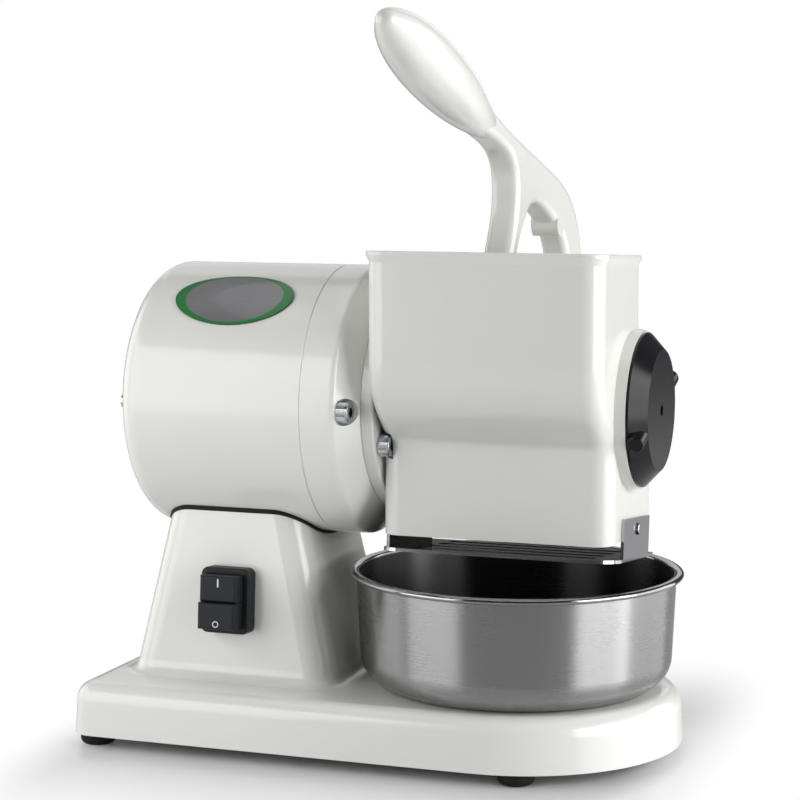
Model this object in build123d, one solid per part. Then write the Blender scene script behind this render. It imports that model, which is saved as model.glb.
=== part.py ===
from build123d import *
import math
import os

# Electric grater for hard cheese, standing on a table.
# Frame: X runs along the motor shaft towards the drum cap, -Y faces the user, Z is up,
# and the origin lies on the table under the middle of the base.
# All sizes are in millimetres.

# Base casting
BASE_LENGTH = 280.8
BASE_WIDTH = 157.0
BASE_HEIGHT = 25.0
BASE_WALL = 5.0
BASE_CORNER_R = 12.0
BASE_TOP_EDGE_R = 9.0
BASE_DRAFT = 1.4
PLATE_T = 2.0
PLATE_CLEARANCE = 0.3

# Feet
FOOT_HEIGHT = 6.0
FOOT_R = 8.5
FOOT_EDGE_R = 3.0
FOOT_MOTOR_INSET = 10.7
FOOT_PAST_ROUND_END = 18.4
FOOT_SIDE_INSET = 12.0
FOOT_BOSS_R = 6.0
FOOT_SEAT_DEPTH = 3.5
FOOT_SCREW_R = 2.0
FOOT_SCREW_HEAD_R = 3.4
FOOT_SCREW_HEAD_H = 2.2
FOOT_SCREW_GRIP = 5.0

# Column
COLUMN_REAR_INSET = 16.7
COLUMN_LENGTH = 106.3
COLUMN_WIDTH = 92.0
COLUMN_WALL = 5.0
COLUMN_CORNER_R = 13.0
COLUMN_FOOT_R = 8.0
COLUMN_REAR_SLOPE = 0.226
COLUMN_FRONT_SLOPE = 0.226
COLUMN_SIDE_SLOPE = 0.067

# Motor
AXIS_RISE = 133.5
MOTOR_R = 65.0
MOTOR_LENGTH = 94.0
MOTOR_WALL = 6.0
MOTOR_REAR_WALL = 6.0
MOTOR_REAR_EDGE_R = 11.0
SEAM_BEHIND_COLUMN_FOOT = 8.3
SEAM_CHAMFER = 0.4
GASKET_T = 1.5
GASKET_PROUD = 0.8
SHIELD_DEPTH = 17.5
SHIELD_FACE_T = 8.0
SHIELD_EDGE_R = 3.0
SHIELD_CONE_BACK = 1.0
SHIELD_PAD_RIM = 0.8
BOSS_STEP = 13.0
BOSS_DEPTH = 8.0
LUG_R = 6.5
LUG_LENGTH = 15.0
STATOR_LENGTH = 48.0
STATOR_SETBACK = 22.0
STATOR_GAP = 0.4
STATOR_DEPTH = 25.5
WINDING_WALL_GAP = 7.0
WINDING_ROTOR_GAP = 3.0
WINDING_REACH = 11.0
END_RING_STEP = 4.1
END_RING_T = 5.0

# Bearings, shaft and seal
REAR_BEARING_R = 17.5
REAR_BEARING_W = 11.0
REAR_JOURNAL_R = 7.5
FRONT_BEARING_R = 23.5
FRONT_BEARING_W = 14.0
FRONT_BEARING_COVER = 1.0
BEARING_SEAT_WALL = 5.0
SHAFT_R = 10.0
SHAFT_END_GAP = 1.0
SHAFT_SHOULDER_GAP = 0.3
SHIELD_BORE_GAP = 2.0
SEAL_R = 16.0
SEAL_T = 7.0
NECK_BORE_GAP = 1.0
DRIVE_R = 8.0
DRIVE_LENGTH = 24.0
DRIVE_PIN_R = 3.0
DRIVE_PIN_REACH = 4.0
PIN_SLOT_CLEARANCE = 0.3
RUNNING_FIT = 0.05

# Screws
M6_R = 3.0
M6_HEAD_R = 5.0
M6_HEAD_H = 6.0
M6_HEAD_EDGE_R = 0.6
M6_SOCKET_R = 2.5
M6_SOCKET_DEPTH = 3.0
THREAD_CLEARANCE = 0.05
HOLE_CLEARANCE = 0.4
SCREW_TIP_GAP = 1.0
SHIELD_SCREW_INSET = 6.0
SHIELD_SCREW_REACH = 28.0
HOPPER_SCREW_INSET = 7.0
HOPPER_SCREW_ANGLE = 22.0
HOPPER_SCREW_REACH = 14.0
COLUMN_SCREW_SPACING = 40.0
REAR_SCREW_INSET = 16.0
REAR_SCREW_HEAD_R = 3.6
REAR_SCREW_HEAD_H = 3.0
REAR_SCREW_R = 2.0
REAR_SCREW_REACH = 4.5

# Grating drum
DRUM_R = 31.0
DRUM_WALL = 2.0
DRUM_GAP = 1.5
DRUM_END_GAP = 4.0
DRUM_CAP_GAP = 3.0
DRUM_SHOULDER_GAP = 1.0
DRUM_PLATE_T = 4.0
DRUM_HUB_R = 15.0
DRUM_HUB_LENGTH = 22.0
DRUM_BUSH_R = 9.0
DRUM_BUSH_LENGTH = 10.0
DRUM_HOLE_R = 2.2
DRUM_HOLE_MARGIN = 8.0
DRUM_HOLES_ROUND = 12
DRUM_HOLE_ROWS = 7

# Hopper, heights counted from the motor axis
FLANGE_T = 6.0
FLANGE_EDGE_R = 1.0
HOPPER_LENGTH = 110.6
HOPPER_WALL = 4.5
MOTOR_SIDE_WALL = 8.3
CAP_SIDE_WALL = 6.3
HOPPER_CORNER_R = 9.0
HOPPER_RISE = 73.0
HOPPER_DROP = 58.9
CHUTE_FRONT_Y = -64.0
CHUTE_BACK_Y = 14.5
OUTLET_GAP = 6.0
FRONT_SLOPE_TOP = 7.0
FRONT_SLOPE_LOW = -14.5
BACK_SLOPE_OVER_DRUM = 8.5
BACK_SLOPE_HEIGHT = 24.0
CREASE_R = 9.0
FRONT_BEND_R = 40.0
RIM_TILT = 2.6
LIP_PROUD = 1.4
LIP_T = 2.0
LIP_EDGE_R = 0.9
LIP_FLARE_H = 5.0
LIP_ROOT = 1.0
CAP_BOSS_WALL = 4.5
CAP_BOSS_PROUD = 4.9
CAP_BOSS_DRAFT = 1.5
SCALLOP_GAP = 1.3
SCALLOP_FLOOR = 2.0

# Drum cap
CAP_BOSS_MARGIN = 0.9
CAP_BEVEL = 7.8
CAP_RIM_T = 1.3
CAP_DEPTH = 8.6
CAP_SPIGOT_DEPTH = 8.0
CAP_AXLE_R = 5.0
CAP_AXLE_COVER = 3.5
CAP_HOLE_R = 2.6
PEG_R = 3.9
PEG_EDGE_R = 1.0
PEG_PROUD = 2.0
PEG_LENGTH = 19.0
PEG_SETBACK = 3.9
PEG_ANGLE = 18.5

# Outlet guard, lengths counted back from its front edge
GUARD_T = 1.5
GUARD_TILT = 6.2
GUARD_DROP = 6.6
GUARD_INSET = 3.0
GUARD_RIGHT_TAB_H = 18.5
GUARD_LEFT_TAB_H = 16.5
GUARD_LEFT_TAB_END_GAP = 3.0
GUARD_RIGHT_TAB_END_GAP = 10.0
GUARD_LEFT_TAB_START = 10.0
GUARD_RIGHT_TAB_START = 16.5
GUARD_CORNER_GAP = 2.0
GUARD_TAB_CORNER_R = 1.5
GUARD_BAR_W = 8.25
GUARD_SLOT_COUNT = 4
GUARD_SLOT_END = 4.5
GUARD_SCREW_R = 1.5
GUARD_SCREW_HEAD_R = 2.8
GUARD_SCREW_HEAD_H = 1.2
GUARD_SCREW_HEAD_EDGE_R = 0.8
GUARD_SCREW_BACK = 43.0
GUARD_SCREW_UP = 13.0
GUARD_SCREW_TIP_GAP = 0.5

# Lever and presser, the lever's outline counted from its hinge, its points as shares of the way to the neck
HINGE_BEHIND_CHUTE = 51.5
HINGE_BELOW_RIM = 31.5
LEVER_T = 13.4
LEVER_EDGE_R = 3.4
LEVER_HUB_R = 13.0
LEVER_HUB_W = 17.0
LEVER_HUB_SHOULDER = 2.6
LEVER_NUB_R = 6.0
LEVER_NUB_Y = -23.5
LEVER_NUB_Z = 43.0
LEVER_LUG_T = 7.0
LEVER_LUG_R = 12.0
LUG_ROOT_H = 26.0
LUG_ROOT_DEPTH = 1.0
HUB_SIDE_GAP = 0.4
HINGE_PIN_R = 5.0
HINGE_PIN_CHAMFER = 0.8
RING_T = 1.6
RING_R = 7.5
PIN_END = 3.0
LEVER_LEG_SHARES = ((0.8561, 0.8729), (0.75, 0.7624), (0.7348, 0.6188), (0.7879, 0.4309))
LEVER_ARCH_SHARES = (
    (0.7197, 0.3646), (0.6553, 0.4751), (0.5682, 0.5691), (0.4545, 0.5912),
    (0.3182, 0.5414), (0.1894, 0.4586), (0.0985, 0.3536), (0.053, 0.221),
)
LEVER_CROWN_SHARES = (
    (-0.1364, 0.2873), (-0.0909, 0.453), (0.0379, 0.6298), (0.2879, 0.768), (0.6742, 0.9171),
)
NECK_Y = -132.0
NECK_Z = 90.5
GRIP_LENGTH = 133.0
GRIP_R = 13.2
GRIP_NECK_R = 6.8
GRIP_TIP_R = 4.5
GRIP_TIP_TURN = 62.0
GRIP_ROOT_R = 4.0
GRIP_ROOT_LENGTH = 22.0
GRIP_SLOPE = 17.0
GRIP_OVERLAP = 14.0
LEG_W = 16.0
LEG_FOOT_SETBACK = 17.0
LEG_FOOT_LENGTH = 27.0
LEG_FOOT_W = 40.0
LEG_FOOT_H = 6.0
PRESSER_DRUM_GAP = 2.5
PRESSER_H = 18.0
PRESSER_SIDE_GAP = 2.5
PRESSER_FRONT_GAP = 1.5
PRESSER_BACK_GAP = 8.5
PRESSER_CORNER_R = 6.0
PRESSER_SCREW_R = 2.5
PRESSER_SCREW_HEAD_R = 4.6
PRESSER_SCREW_HEAD_H = 3.0
PRESSER_SCREW_SEAT = 9.0
PRESSER_SCREW_SPACING = 24.0

# Bowl
BOWL_RIM_R = 79.8
BOWL_BEAD_R = 2.4
BOWL_BEAD_HALF_H = 1.6
BOWL_TAPER = 2.4
BOWL_CORNER_R = 14.5
BOWL_INNER_CORNER_R = 12.3
BOWL_WALL = 1.4
BOWL_GUARD_GAP = 2.1
BOWL_COLUMN_GAP = 9.8

# Switch
SWITCH_BEHIND_SEAM = 44.0
SWITCH_RISE = 39.0
SWITCH_BODY_W = 22.0
SWITCH_BODY_H = 28.5
SWITCH_DEPTH = 24.0
SWITCH_WALL = 1.2
COLLAR_LIP = 1.5
COLLAR_DEPTH = 8.0
COLLAR_CORNER_R = 3.5
CUTOUT_CLEARANCE = 0.2
BUTTON_CLEARANCE = 0.3
BUTTON_TRAVEL = 3.0
BUTTON_END_GAP = 0.8
WELL_DEPTH = 16.0
ON_BUTTON_PROUD = 8.0
OFF_BUTTON_PROUD = 10.0
BUTTON_EDGE_R = 1.2

# Electrical parts inside the column
CAPACITOR_R = 16.0
CAPACITOR_H = 58.0
CAPACITOR_EDGE_R = 2.0
CAPACITOR_FRONT_GAP = 22.0
CAPACITOR_SIDE_GAP = 5.0
CLIP_T = 1.4
CLIP_H = 12.0
CLIP_CLEARANCE = 0.05
TERMINAL_L = 34.0
TERMINAL_W = 16.0
TERMINAL_H = 13.0
TERMINAL_WELLS = 3
TERMINAL_WELL_R = 2.7
TERMINAL_WELL_DEPTH = 6.5
TERMINAL_FRONT_GAP = 28.0
TERMINAL_SIDE_GAP = 15.0
GLAND_REAR_INSET = 42.0
GLAND_OVER_CAPACITOR = 4.0
GLAND_R = 8.0
GLAND_HEAD_R = 11.0
GLAND_HEX_H = 7.0
GLAND_DOME_R = 8.8
GLAND_DOME_H = 5.0
GLAND_BORE_R = 4.0
GLAND_NUT_R = 11.0
GLAND_NUT_T = 4.0
GLAND_TAIL = 3.0

# Oval plate on the motor
OVAL_LENGTH = 60.0
OVAL_HEIGHT = 33.0
OVAL_T = 0.8
OVAL_ANGLE = 50.5
OVAL_BEHIND_SEAM = 42.0

# How far a cutting solid runs past the face that it cuts
CUT_OVER = 1.0

# Stations along the motor axis, worked out from the sizes above
BASE_REAR_X = -BASE_LENGTH / 2
ROUND_END_X = (BASE_LENGTH - BASE_WIDTH) / 2
COLUMN_REAR_X = BASE_REAR_X + COLUMN_REAR_INSET
COLUMN_FRONT_X = COLUMN_REAR_X + COLUMN_LENGTH
SEAM_X = COLUMN_FRONT_X - SEAM_BEHIND_COLUMN_FOOT
MOTOR_REAR_X = SEAM_X - MOTOR_LENGTH
REAR_WALL_X = MOTOR_REAR_X + MOTOR_REAR_WALL
REAR_BEARING_END_X = REAR_WALL_X + REAR_BEARING_W
STATOR_FRONT_X = SEAM_X - STATOR_SETBACK
STATOR_REAR_X = STATOR_FRONT_X - STATOR_LENGTH
SHIELD_FACE_X = SEAM_X + SHIELD_DEPTH
SHIELD_CONE_X = SHIELD_FACE_X - SHIELD_CONE_BACK
FRONT_BEARING_END_X = SHIELD_FACE_X - FRONT_BEARING_COVER
FRONT_BEARING_X = FRONT_BEARING_END_X - FRONT_BEARING_W
BOSS_FACE_X = SHIELD_FACE_X + BOSS_DEPTH
FLANGE_FACE_X = BOSS_FACE_X + FLANGE_T
HOPPER_RIGHT_X = FLANGE_FACE_X + HOPPER_LENGTH
CAVITY_LEFT_X = FLANGE_FACE_X + MOTOR_SIDE_WALL
CAVITY_RIGHT_X = HOPPER_RIGHT_X - CAP_SIDE_WALL
CAVITY_MID_X = (CAVITY_LEFT_X + CAVITY_RIGHT_X) / 2
CAP_SEAT_X = HOPPER_RIGHT_X + CAP_BOSS_PROUD
CAP_FACE_X = CAP_SEAT_X + CAP_DEPTH
SPIGOT_END_X = CAP_SEAT_X - CAP_SPIGOT_DEPTH
DRUM_LEFT_X = CAVITY_LEFT_X + DRUM_END_GAP
DRUM_RIGHT_X = SPIGOT_END_X - DRUM_CAP_GAP

# Radii round the motor axis
SADDLE_R = MOTOR_R + GASKET_T
BOSS_R = MOTOR_R - BOSS_STEP
SHIELD_SCREW_PITCH_R = MOTOR_R - SHIELD_SCREW_INSET
HOPPER_SCREW_PITCH_R = BOSS_R - HOPPER_SCREW_INSET
REAR_SCREW_PITCH_R = MOTOR_R - REAR_SCREW_INSET
ROTOR_R = MOTOR_R - MOTOR_WALL - STATOR_DEPTH - STATOR_GAP
DRUM_BORE_R = DRUM_R + DRUM_GAP
CAP_BOSS_R = DRUM_BORE_R + CAP_BOSS_WALL
CAP_R = CAP_BOSS_R - CAP_BOSS_MARGIN
CAP_FACE_R = CAP_R - CAP_BEVEL
PEG_END_R = CAP_R + PEG_PROUD
PEG_ROOT_R = PEG_END_R - PEG_LENGTH

# Heights
BASE_TOP = FOOT_HEIGHT + BASE_HEIGHT
PLATE_TOP = FOOT_HEIGHT + PLATE_T
AXIS_Z = BASE_TOP + AXIS_RISE
MOTOR_UNDER_Z = AXIS_Z - MOTOR_R
SADDLE_SEAT_Z = AXIS_Z - SADDLE_R - COLUMN_WALL
SWITCH_Z = BASE_TOP + SWITCH_RISE
GLAND_Z = PLATE_TOP + CAPACITOR_H + GLAND_OVER_CAPACITOR + GLAND_NUT_R
HOPPER_RIM_Z = AXIS_Z + HOPPER_RISE
HOPPER_BOTTOM_Z = AXIS_Z - HOPPER_DROP
FRONT_SLOPE_TOP_Z = AXIS_Z + FRONT_SLOPE_TOP
FRONT_SLOPE_LOW_Z = AXIS_Z + FRONT_SLOPE_LOW
BACK_SLOPE_TOP_Z = AXIS_Z + DRUM_R + BACK_SLOPE_OVER_DRUM
BACK_SLOPE_LOW_Z = BACK_SLOPE_TOP_Z - BACK_SLOPE_HEIGHT
HINGE_Z = HOPPER_RIM_Z - HINGE_BELOW_RIM
PRESSER_Z = AXIS_Z + DRUM_R + PRESSER_DRUM_GAP
PRESSER_TOP_Z = PRESSER_Z + PRESSER_H
GUARD_FRONT_Z = HOPPER_BOTTOM_Z - GUARD_DROP

# Places across the machine
OUTLET_HALF_Y = DRUM_R + OUTLET_GAP + HOPPER_WALL
CHUTE_MID_Y = (CHUTE_FRONT_Y + CHUTE_BACK_Y) / 2
CHUTE_WIDTH = CHUTE_BACK_Y - CHUTE_FRONT_Y
HINGE_Y = CHUTE_BACK_Y + HINGE_BEHIND_CHUTE
PRESSER_FRONT_Y = CHUTE_FRONT_Y + HOPPER_WALL + PRESSER_FRONT_GAP
PRESSER_BACK_Y = CHUTE_BACK_Y - HOPPER_WALL - PRESSER_BACK_GAP
LEG_FOOT_Y = PRESSER_FRONT_Y + LEG_FOOT_SETBACK
GUARD_FRONT_Y = GUARD_INSET - OUTLET_HALF_Y
GUARD_LENGTH = -2 * GUARD_FRONT_Y
GUARD_BACK_DROP = (GUARD_LENGTH * math.sin(math.radians(GUARD_TILT))
                   + GUARD_T * math.cos(math.radians(GUARD_TILT)))
BOWL_RIM_Z = GUARD_FRONT_Z - GUARD_BACK_DROP - BOWL_GUARD_GAP - BOWL_BEAD_R
COLUMN_FRONT_AT_RIM_X = COLUMN_FRONT_X - (BOWL_RIM_Z - BASE_TOP) * COLUMN_FRONT_SLOPE
BOWL_X = COLUMN_FRONT_AT_RIM_X + BOWL_COLUMN_GAP + BOWL_RIM_R
LUG_INNER = LEVER_HUB_W / 2 + HUB_SIDE_GAP
LUG_OUTER = LUG_INNER + LEVER_LUG_T
PIN_HALF = LUG_OUTER + RING_T + PIN_END
SIDE_TILT = math.degrees(math.atan(COLUMN_SIDE_SLOPE))
COLUMN_TOP_REAR_X = COLUMN_REAR_X + AXIS_RISE * COLUMN_REAR_SLOPE
COLUMN_TOP_FRONT_X = COLUMN_FRONT_X - AXIS_RISE * COLUMN_FRONT_SLOPE
COLUMN_MID_X = (COLUMN_TOP_REAR_X + COLUMN_TOP_FRONT_X) / 2
COLUMN_SCREW_XS = (COLUMN_MID_X - COLUMN_SCREW_SPACING / 2, COLUMN_MID_X + COLUMN_SCREW_SPACING / 2)
PRESSER_SCREW_XS = (CAVITY_MID_X - PRESSER_SCREW_SPACING / 2, CAVITY_MID_X + PRESSER_SCREW_SPACING / 2)
CAPACITOR_X = COLUMN_FRONT_X - COLUMN_WALL - CAPACITOR_FRONT_GAP - CAPACITOR_R
CAPACITOR_Y = COLUMN_WIDTH / 2 - COLUMN_WALL - CAPACITOR_SIDE_GAP - CAPACITOR_R
TERMINAL_X = COLUMN_FRONT_X - COLUMN_WALL - TERMINAL_FRONT_GAP - TERMINAL_L / 2
TERMINAL_Y = TERMINAL_SIDE_GAP + COLUMN_WALL + TERMINAL_W / 2 - COLUMN_WIDTH / 2
FOOT_PLACES = [
    (x, side * (BASE_WIDTH / 2 - FOOT_SIDE_INSET))
    for x in (BASE_REAR_X + FOOT_MOTOR_INSET, ROUND_END_X + FOOT_PAST_ROUND_END)
    for side in (-1, 1)
]


def cylinder_x(radius, x0, x1, y=0.0, z=AXIS_Z):
    """Cylinder along X between two stations."""
    return Pos((x0 + x1) / 2, y, z) * Rot(0, 90, 0) * Cylinder(radius, abs(x1 - x0))


def cylinder_z(radius, z0, z1, x=0.0, y=0.0):
    """Upright cylinder between two heights."""
    return Pos(x, y, (z0 + z1) / 2) * Cylinder(radius, z1 - z0)


def tube_x(outer_r, inner_r, x0, x1, y=0.0, z=AXIS_Z):
    """Ring along X between two stations."""
    return cylinder_x(outer_r, x0, x1, y, z) - cylinder_x(inner_r, x0, x1, y, z)


def block(x0, x1, y0, y1, z0, z1):
    """Box between two corners."""
    return Pos((x0 + x1) / 2, (y0 + y1) / 2, (z0 + z1) / 2) * Box(x1 - x0, y1 - y0, z1 - z0)


def turned_x(points):
    """Solid turned about the motor axis from (station, radius) points."""
    outline = Polyline([(x, 0, AXIS_Z + r) for x, r in points], close=True)
    return revolve(make_face(outline), Axis((0, 0, AXIS_Z), (1, 0, 0)))


def around_axis(pitch_r, angles):
    """Places on a circle round the motor axis, as (y, z) pairs, angles from the front side upwards."""
    return [
        (-pitch_r * math.cos(math.radians(a)), AXIS_Z + pitch_r * math.sin(math.radians(a)))
        for a in angles
    ]


SHIELD_SCREW_PLACES = around_axis(SHIELD_SCREW_PITCH_R, (0, 120, 240))
HOPPER_SCREW_PLACES = around_axis(
    HOPPER_SCREW_PITCH_R, (-HOPPER_SCREW_ANGLE, 180 - HOPPER_SCREW_ANGLE, 180 + HOPPER_SCREW_ANGLE)
)
REAR_SCREW_PLACES = around_axis(REAR_SCREW_PITCH_R, (0, 90, 180, 270))


def cap_screw_x(seat_x, reach, y, z):
    """Socket cap screw along X, its head standing on the seat and its shank running back from it."""
    head = cylinder_x(M6_HEAD_R, seat_x, seat_x + M6_HEAD_H, y, z)
    rim = head.edges().filter_by(GeomType.CIRCLE).sort_by(Axis.X)[-1]
    head = fillet(rim, M6_HEAD_EDGE_R)
    shank = cylinder_x(M6_R, seat_x - reach, seat_x, y, z)
    socket_x = seat_x + M6_HEAD_H - M6_SOCKET_DEPTH
    socket = extrude(
        Plane((socket_x, y, z), x_dir=(0, 1, 0), z_dir=(1, 0, 0)) * RegularPolygon(M6_SOCKET_R, 6),
        M6_SOCKET_DEPTH,
    )
    return head + shank - socket


# Base and column

def base_outline(z, inset):
    """Outline of the base at a height, round at the bowl's end and drawn in by an inset."""
    half = BASE_WIDTH / 2 - inset
    rear = BASE_REAR_X + inset
    outline = Pos((rear + ROUND_END_X) / 2, 0) * Rectangle(ROUND_END_X - rear, 2 * half)
    outline = fillet(outline.vertices().group_by(Axis.X)[0], BASE_CORNER_R - inset)
    return Pos(0, 0, z) * (outline + Pos(ROUND_END_X, 0) * Circle(half))


def column_half_width(z):
    """Half the column's width at a height."""
    return COLUMN_WIDTH / 2 - (z - BASE_TOP) * COLUMN_SIDE_SLOPE


def column_section(z, inset):
    """Level section of the column at a height, drawn in by an inset."""
    rear = COLUMN_REAR_X + (z - BASE_TOP) * COLUMN_REAR_SLOPE + inset
    front = COLUMN_FRONT_X - (z - BASE_TOP) * COLUMN_FRONT_SLOPE - inset
    width = 2 * (column_half_width(z) - inset)
    outline = RectangleRounded(front - rear, width, COLUMN_CORNER_R - inset)
    return Pos((rear + front) / 2, 0, z) * outline


def column_solid(inset, z0, z1):
    """Tapered column between two heights, drawn in by an inset."""
    return loft([column_section(z0, inset), column_section(z1, inset)], ruled=True)


def column_side(x, z, facing):
    """Plane on the column's sloping side, facing -1 to the user or +1 to the back, its Y up the side."""
    tilt = math.radians(SIDE_TILT)
    return Plane(
        origin=(x, facing * column_half_width(z), z),
        x_dir=(-facing, 0, 0),
        z_dir=(0, facing * math.cos(tilt), math.sin(tilt)),
    )


SWITCH_PLANE = column_side(SEAM_X - SWITCH_BEHIND_SEAM, SWITCH_Z, -1)
GLAND_PLANE = column_side(COLUMN_REAR_X + GLAND_REAR_INSET, GLAND_Z, 1)


def column_screw_holes():
    """Clearance holes through the saddle and the gasket."""
    return [
        cylinder_z(M6_R + HOLE_CLEARANCE, SADDLE_SEAT_Z - CUT_OVER, MOTOR_UNDER_Z + CUT_OVER, x)
        for x in COLUMN_SCREW_XS
    ]


def base_casting():
    """Base plate and column in one casting, hollow from below."""
    body = loft([base_outline(FOOT_HEIGHT, 0), base_outline(BASE_TOP, BASE_DRAFT)], ruled=True)
    body = fillet(body.edges().group_by(Axis.Z)[-1], BASE_TOP_EDGE_R)
    saddle = cylinder_x(SADDLE_R, -BASE_LENGTH, BASE_LENGTH)
    body += column_solid(0, BASE_TOP, AXIS_Z) - saddle
    foot_line = [
        e
        for e in body.edges()
        if abs(e.center().Z - BASE_TOP) < CUT_OVER
        and abs(e.center().Y) < COLUMN_WIDTH / 2 + CUT_OVER
        and COLUMN_REAR_X - CUT_OVER < e.center().X < COLUMN_FRONT_X + CUT_OVER
    ]
    flat_behind = COLUMN_REAR_INSET - BASE_TOP_EDGE_R - CUT_OVER / 2
    body = fillet(foot_line, min(COLUMN_FOOT_R, flat_behind))
    room = extrude(base_outline(FOOT_HEIGHT, BASE_WALL), BASE_HEIGHT - BASE_WALL)
    for x, y in FOOT_PLACES:
        room -= cylinder_z(FOOT_BOSS_R, PLATE_TOP, BASE_TOP, x, y)
    saddle_wall = cylinder_x(SADDLE_R + COLUMN_WALL, -BASE_LENGTH, BASE_LENGTH)
    body -= room
    body -= column_solid(COLUMN_WALL, PLATE_TOP, AXIS_Z) - saddle_wall
    for x, y in FOOT_PLACES:
        body -= cylinder_z(FOOT_SCREW_R + THREAD_CLEARANCE, PLATE_TOP, PLATE_TOP + FOOT_SCREW_GRIP, x, y)
    body -= column_screw_holes()
    cutout_w = SWITCH_BODY_W + 2 * CUTOUT_CLEARANCE
    cutout_h = SWITCH_BODY_H + 2 * CUTOUT_CLEARANCE
    body -= extrude(SWITCH_PLANE * Rectangle(cutout_w, cutout_h), 2 * COLUMN_WALL, both=True)
    body -= GLAND_PLANE * Cylinder(GLAND_R + CUTOUT_CLEARANCE, 4 * COLUMN_WALL)
    return body


def bottom_plate():
    """Sheet that closes the base from below."""
    plate = extrude(base_outline(FOOT_HEIGHT, BASE_WALL + PLATE_CLEARANCE), PLATE_T)
    for x, y in FOOT_PLACES:
        plate -= cylinder_z(FOOT_SCREW_R + HOLE_CLEARANCE, FOOT_HEIGHT - CUT_OVER, PLATE_TOP + CUT_OVER, x, y)
    return plate


def rubber_feet():
    """Four round feet with a rounded edge and a sunk seat for the screw head."""
    feet = []
    for x, y in FOOT_PLACES:
        foot = cylinder_z(FOOT_R, 0, FOOT_HEIGHT, x, y)
        foot = fillet(foot.edges().filter_by(GeomType.CIRCLE).sort_by(Axis.Z)[0], FOOT_EDGE_R)
        foot -= cylinder_z(FOOT_SCREW_R + HOLE_CLEARANCE, -CUT_OVER, FOOT_HEIGHT + CUT_OVER, x, y)
        foot -= cylinder_z(FOOT_SCREW_HEAD_R + HOLE_CLEARANCE, -CUT_OVER, FOOT_SEAT_DEPTH, x, y)
        feet.append(foot)
    return Compound(children=feet)


def foot_screws():
    """Screws that hold each foot and the bottom plate to the casting."""
    screws = []
    for x, y in FOOT_PLACES:
        head = cylinder_z(FOOT_SCREW_HEAD_R, FOOT_SEAT_DEPTH - FOOT_SCREW_HEAD_H, FOOT_SEAT_DEPTH, x, y)
        screws.append(head + cylinder_z(FOOT_SCREW_R, FOOT_SEAT_DEPTH, PLATE_TOP + FOOT_SCREW_GRIP, x, y))
    return Compound(children=screws)


def motor_gasket():
    """Rubber saddle between the column and the motor, a little proud of the column all round."""
    shell = tube_x(SADDLE_R, MOTOR_R, MOTOR_REAR_X, SEAM_X)
    pad = shell & column_solid(-GASKET_PROUD, BASE_TOP, AXIS_Z)
    return pad - column_screw_holes()


def column_screws():
    """Cap screws up through the saddle into the motor's wall."""
    tip_z = MOTOR_UNDER_Z + MOTOR_WALL - SCREW_TIP_GAP
    screws = []
    for x in COLUMN_SCREW_XS:
        head = cylinder_z(M6_HEAD_R, SADDLE_SEAT_Z - M6_HEAD_H, SADDLE_SEAT_Z, x)
        screws.append(head + cylinder_z(M6_R, SADDLE_SEAT_Z, tip_z, x))
    return Compound(children=screws)


# Motor

def motor_housing():
    """Round cup with the rear bearing seat and the lugs for the shield screws."""
    outer = cylinder_x(MOTOR_R, MOTOR_REAR_X, SEAM_X)
    outer = fillet(outer.edges().filter_by(GeomType.CIRCLE).sort_by(Axis.X)[0], MOTOR_REAR_EDGE_R)
    outer = chamfer(outer.edges().filter_by(GeomType.CIRCLE).sort_by(Axis.X)[-1], SEAM_CHAMFER)
    cup = outer - cylinder_x(MOTOR_R - MOTOR_WALL, REAR_WALL_X, SEAM_X)
    seat_r = REAR_BEARING_R + BEARING_SEAT_WALL
    cup += cylinder_x(seat_r, REAR_WALL_X - CUT_OVER, REAR_BEARING_END_X)
    cup -= cylinder_x(REAR_BEARING_R, REAR_WALL_X, REAR_BEARING_END_X)
    for y, z in SHIELD_SCREW_PLACES:
        cup += cylinder_x(LUG_R, SEAM_X - LUG_LENGTH, SEAM_X, y, z) & outer
    for y, z in SHIELD_SCREW_PLACES:
        cup -= cylinder_x(M6_R + THREAD_CLEARANCE, SHIELD_FACE_X - SHIELD_SCREW_REACH, SEAM_X, y, z)
    rear_screw_end_x = MOTOR_REAR_X + REAR_SCREW_REACH
    for y, z in REAR_SCREW_PLACES:
        cup -= cylinder_x(REAR_SCREW_R + THREAD_CLEARANCE, MOTOR_REAR_X, rear_screw_end_x, y, z)
    for x in COLUMN_SCREW_XS:
        cup -= cylinder_z(
            M6_R + THREAD_CLEARANCE, MOTOR_UNDER_Z - CUT_OVER, MOTOR_UNDER_Z + MOTOR_WALL + CUT_OVER, x
        )
    return cup


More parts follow.
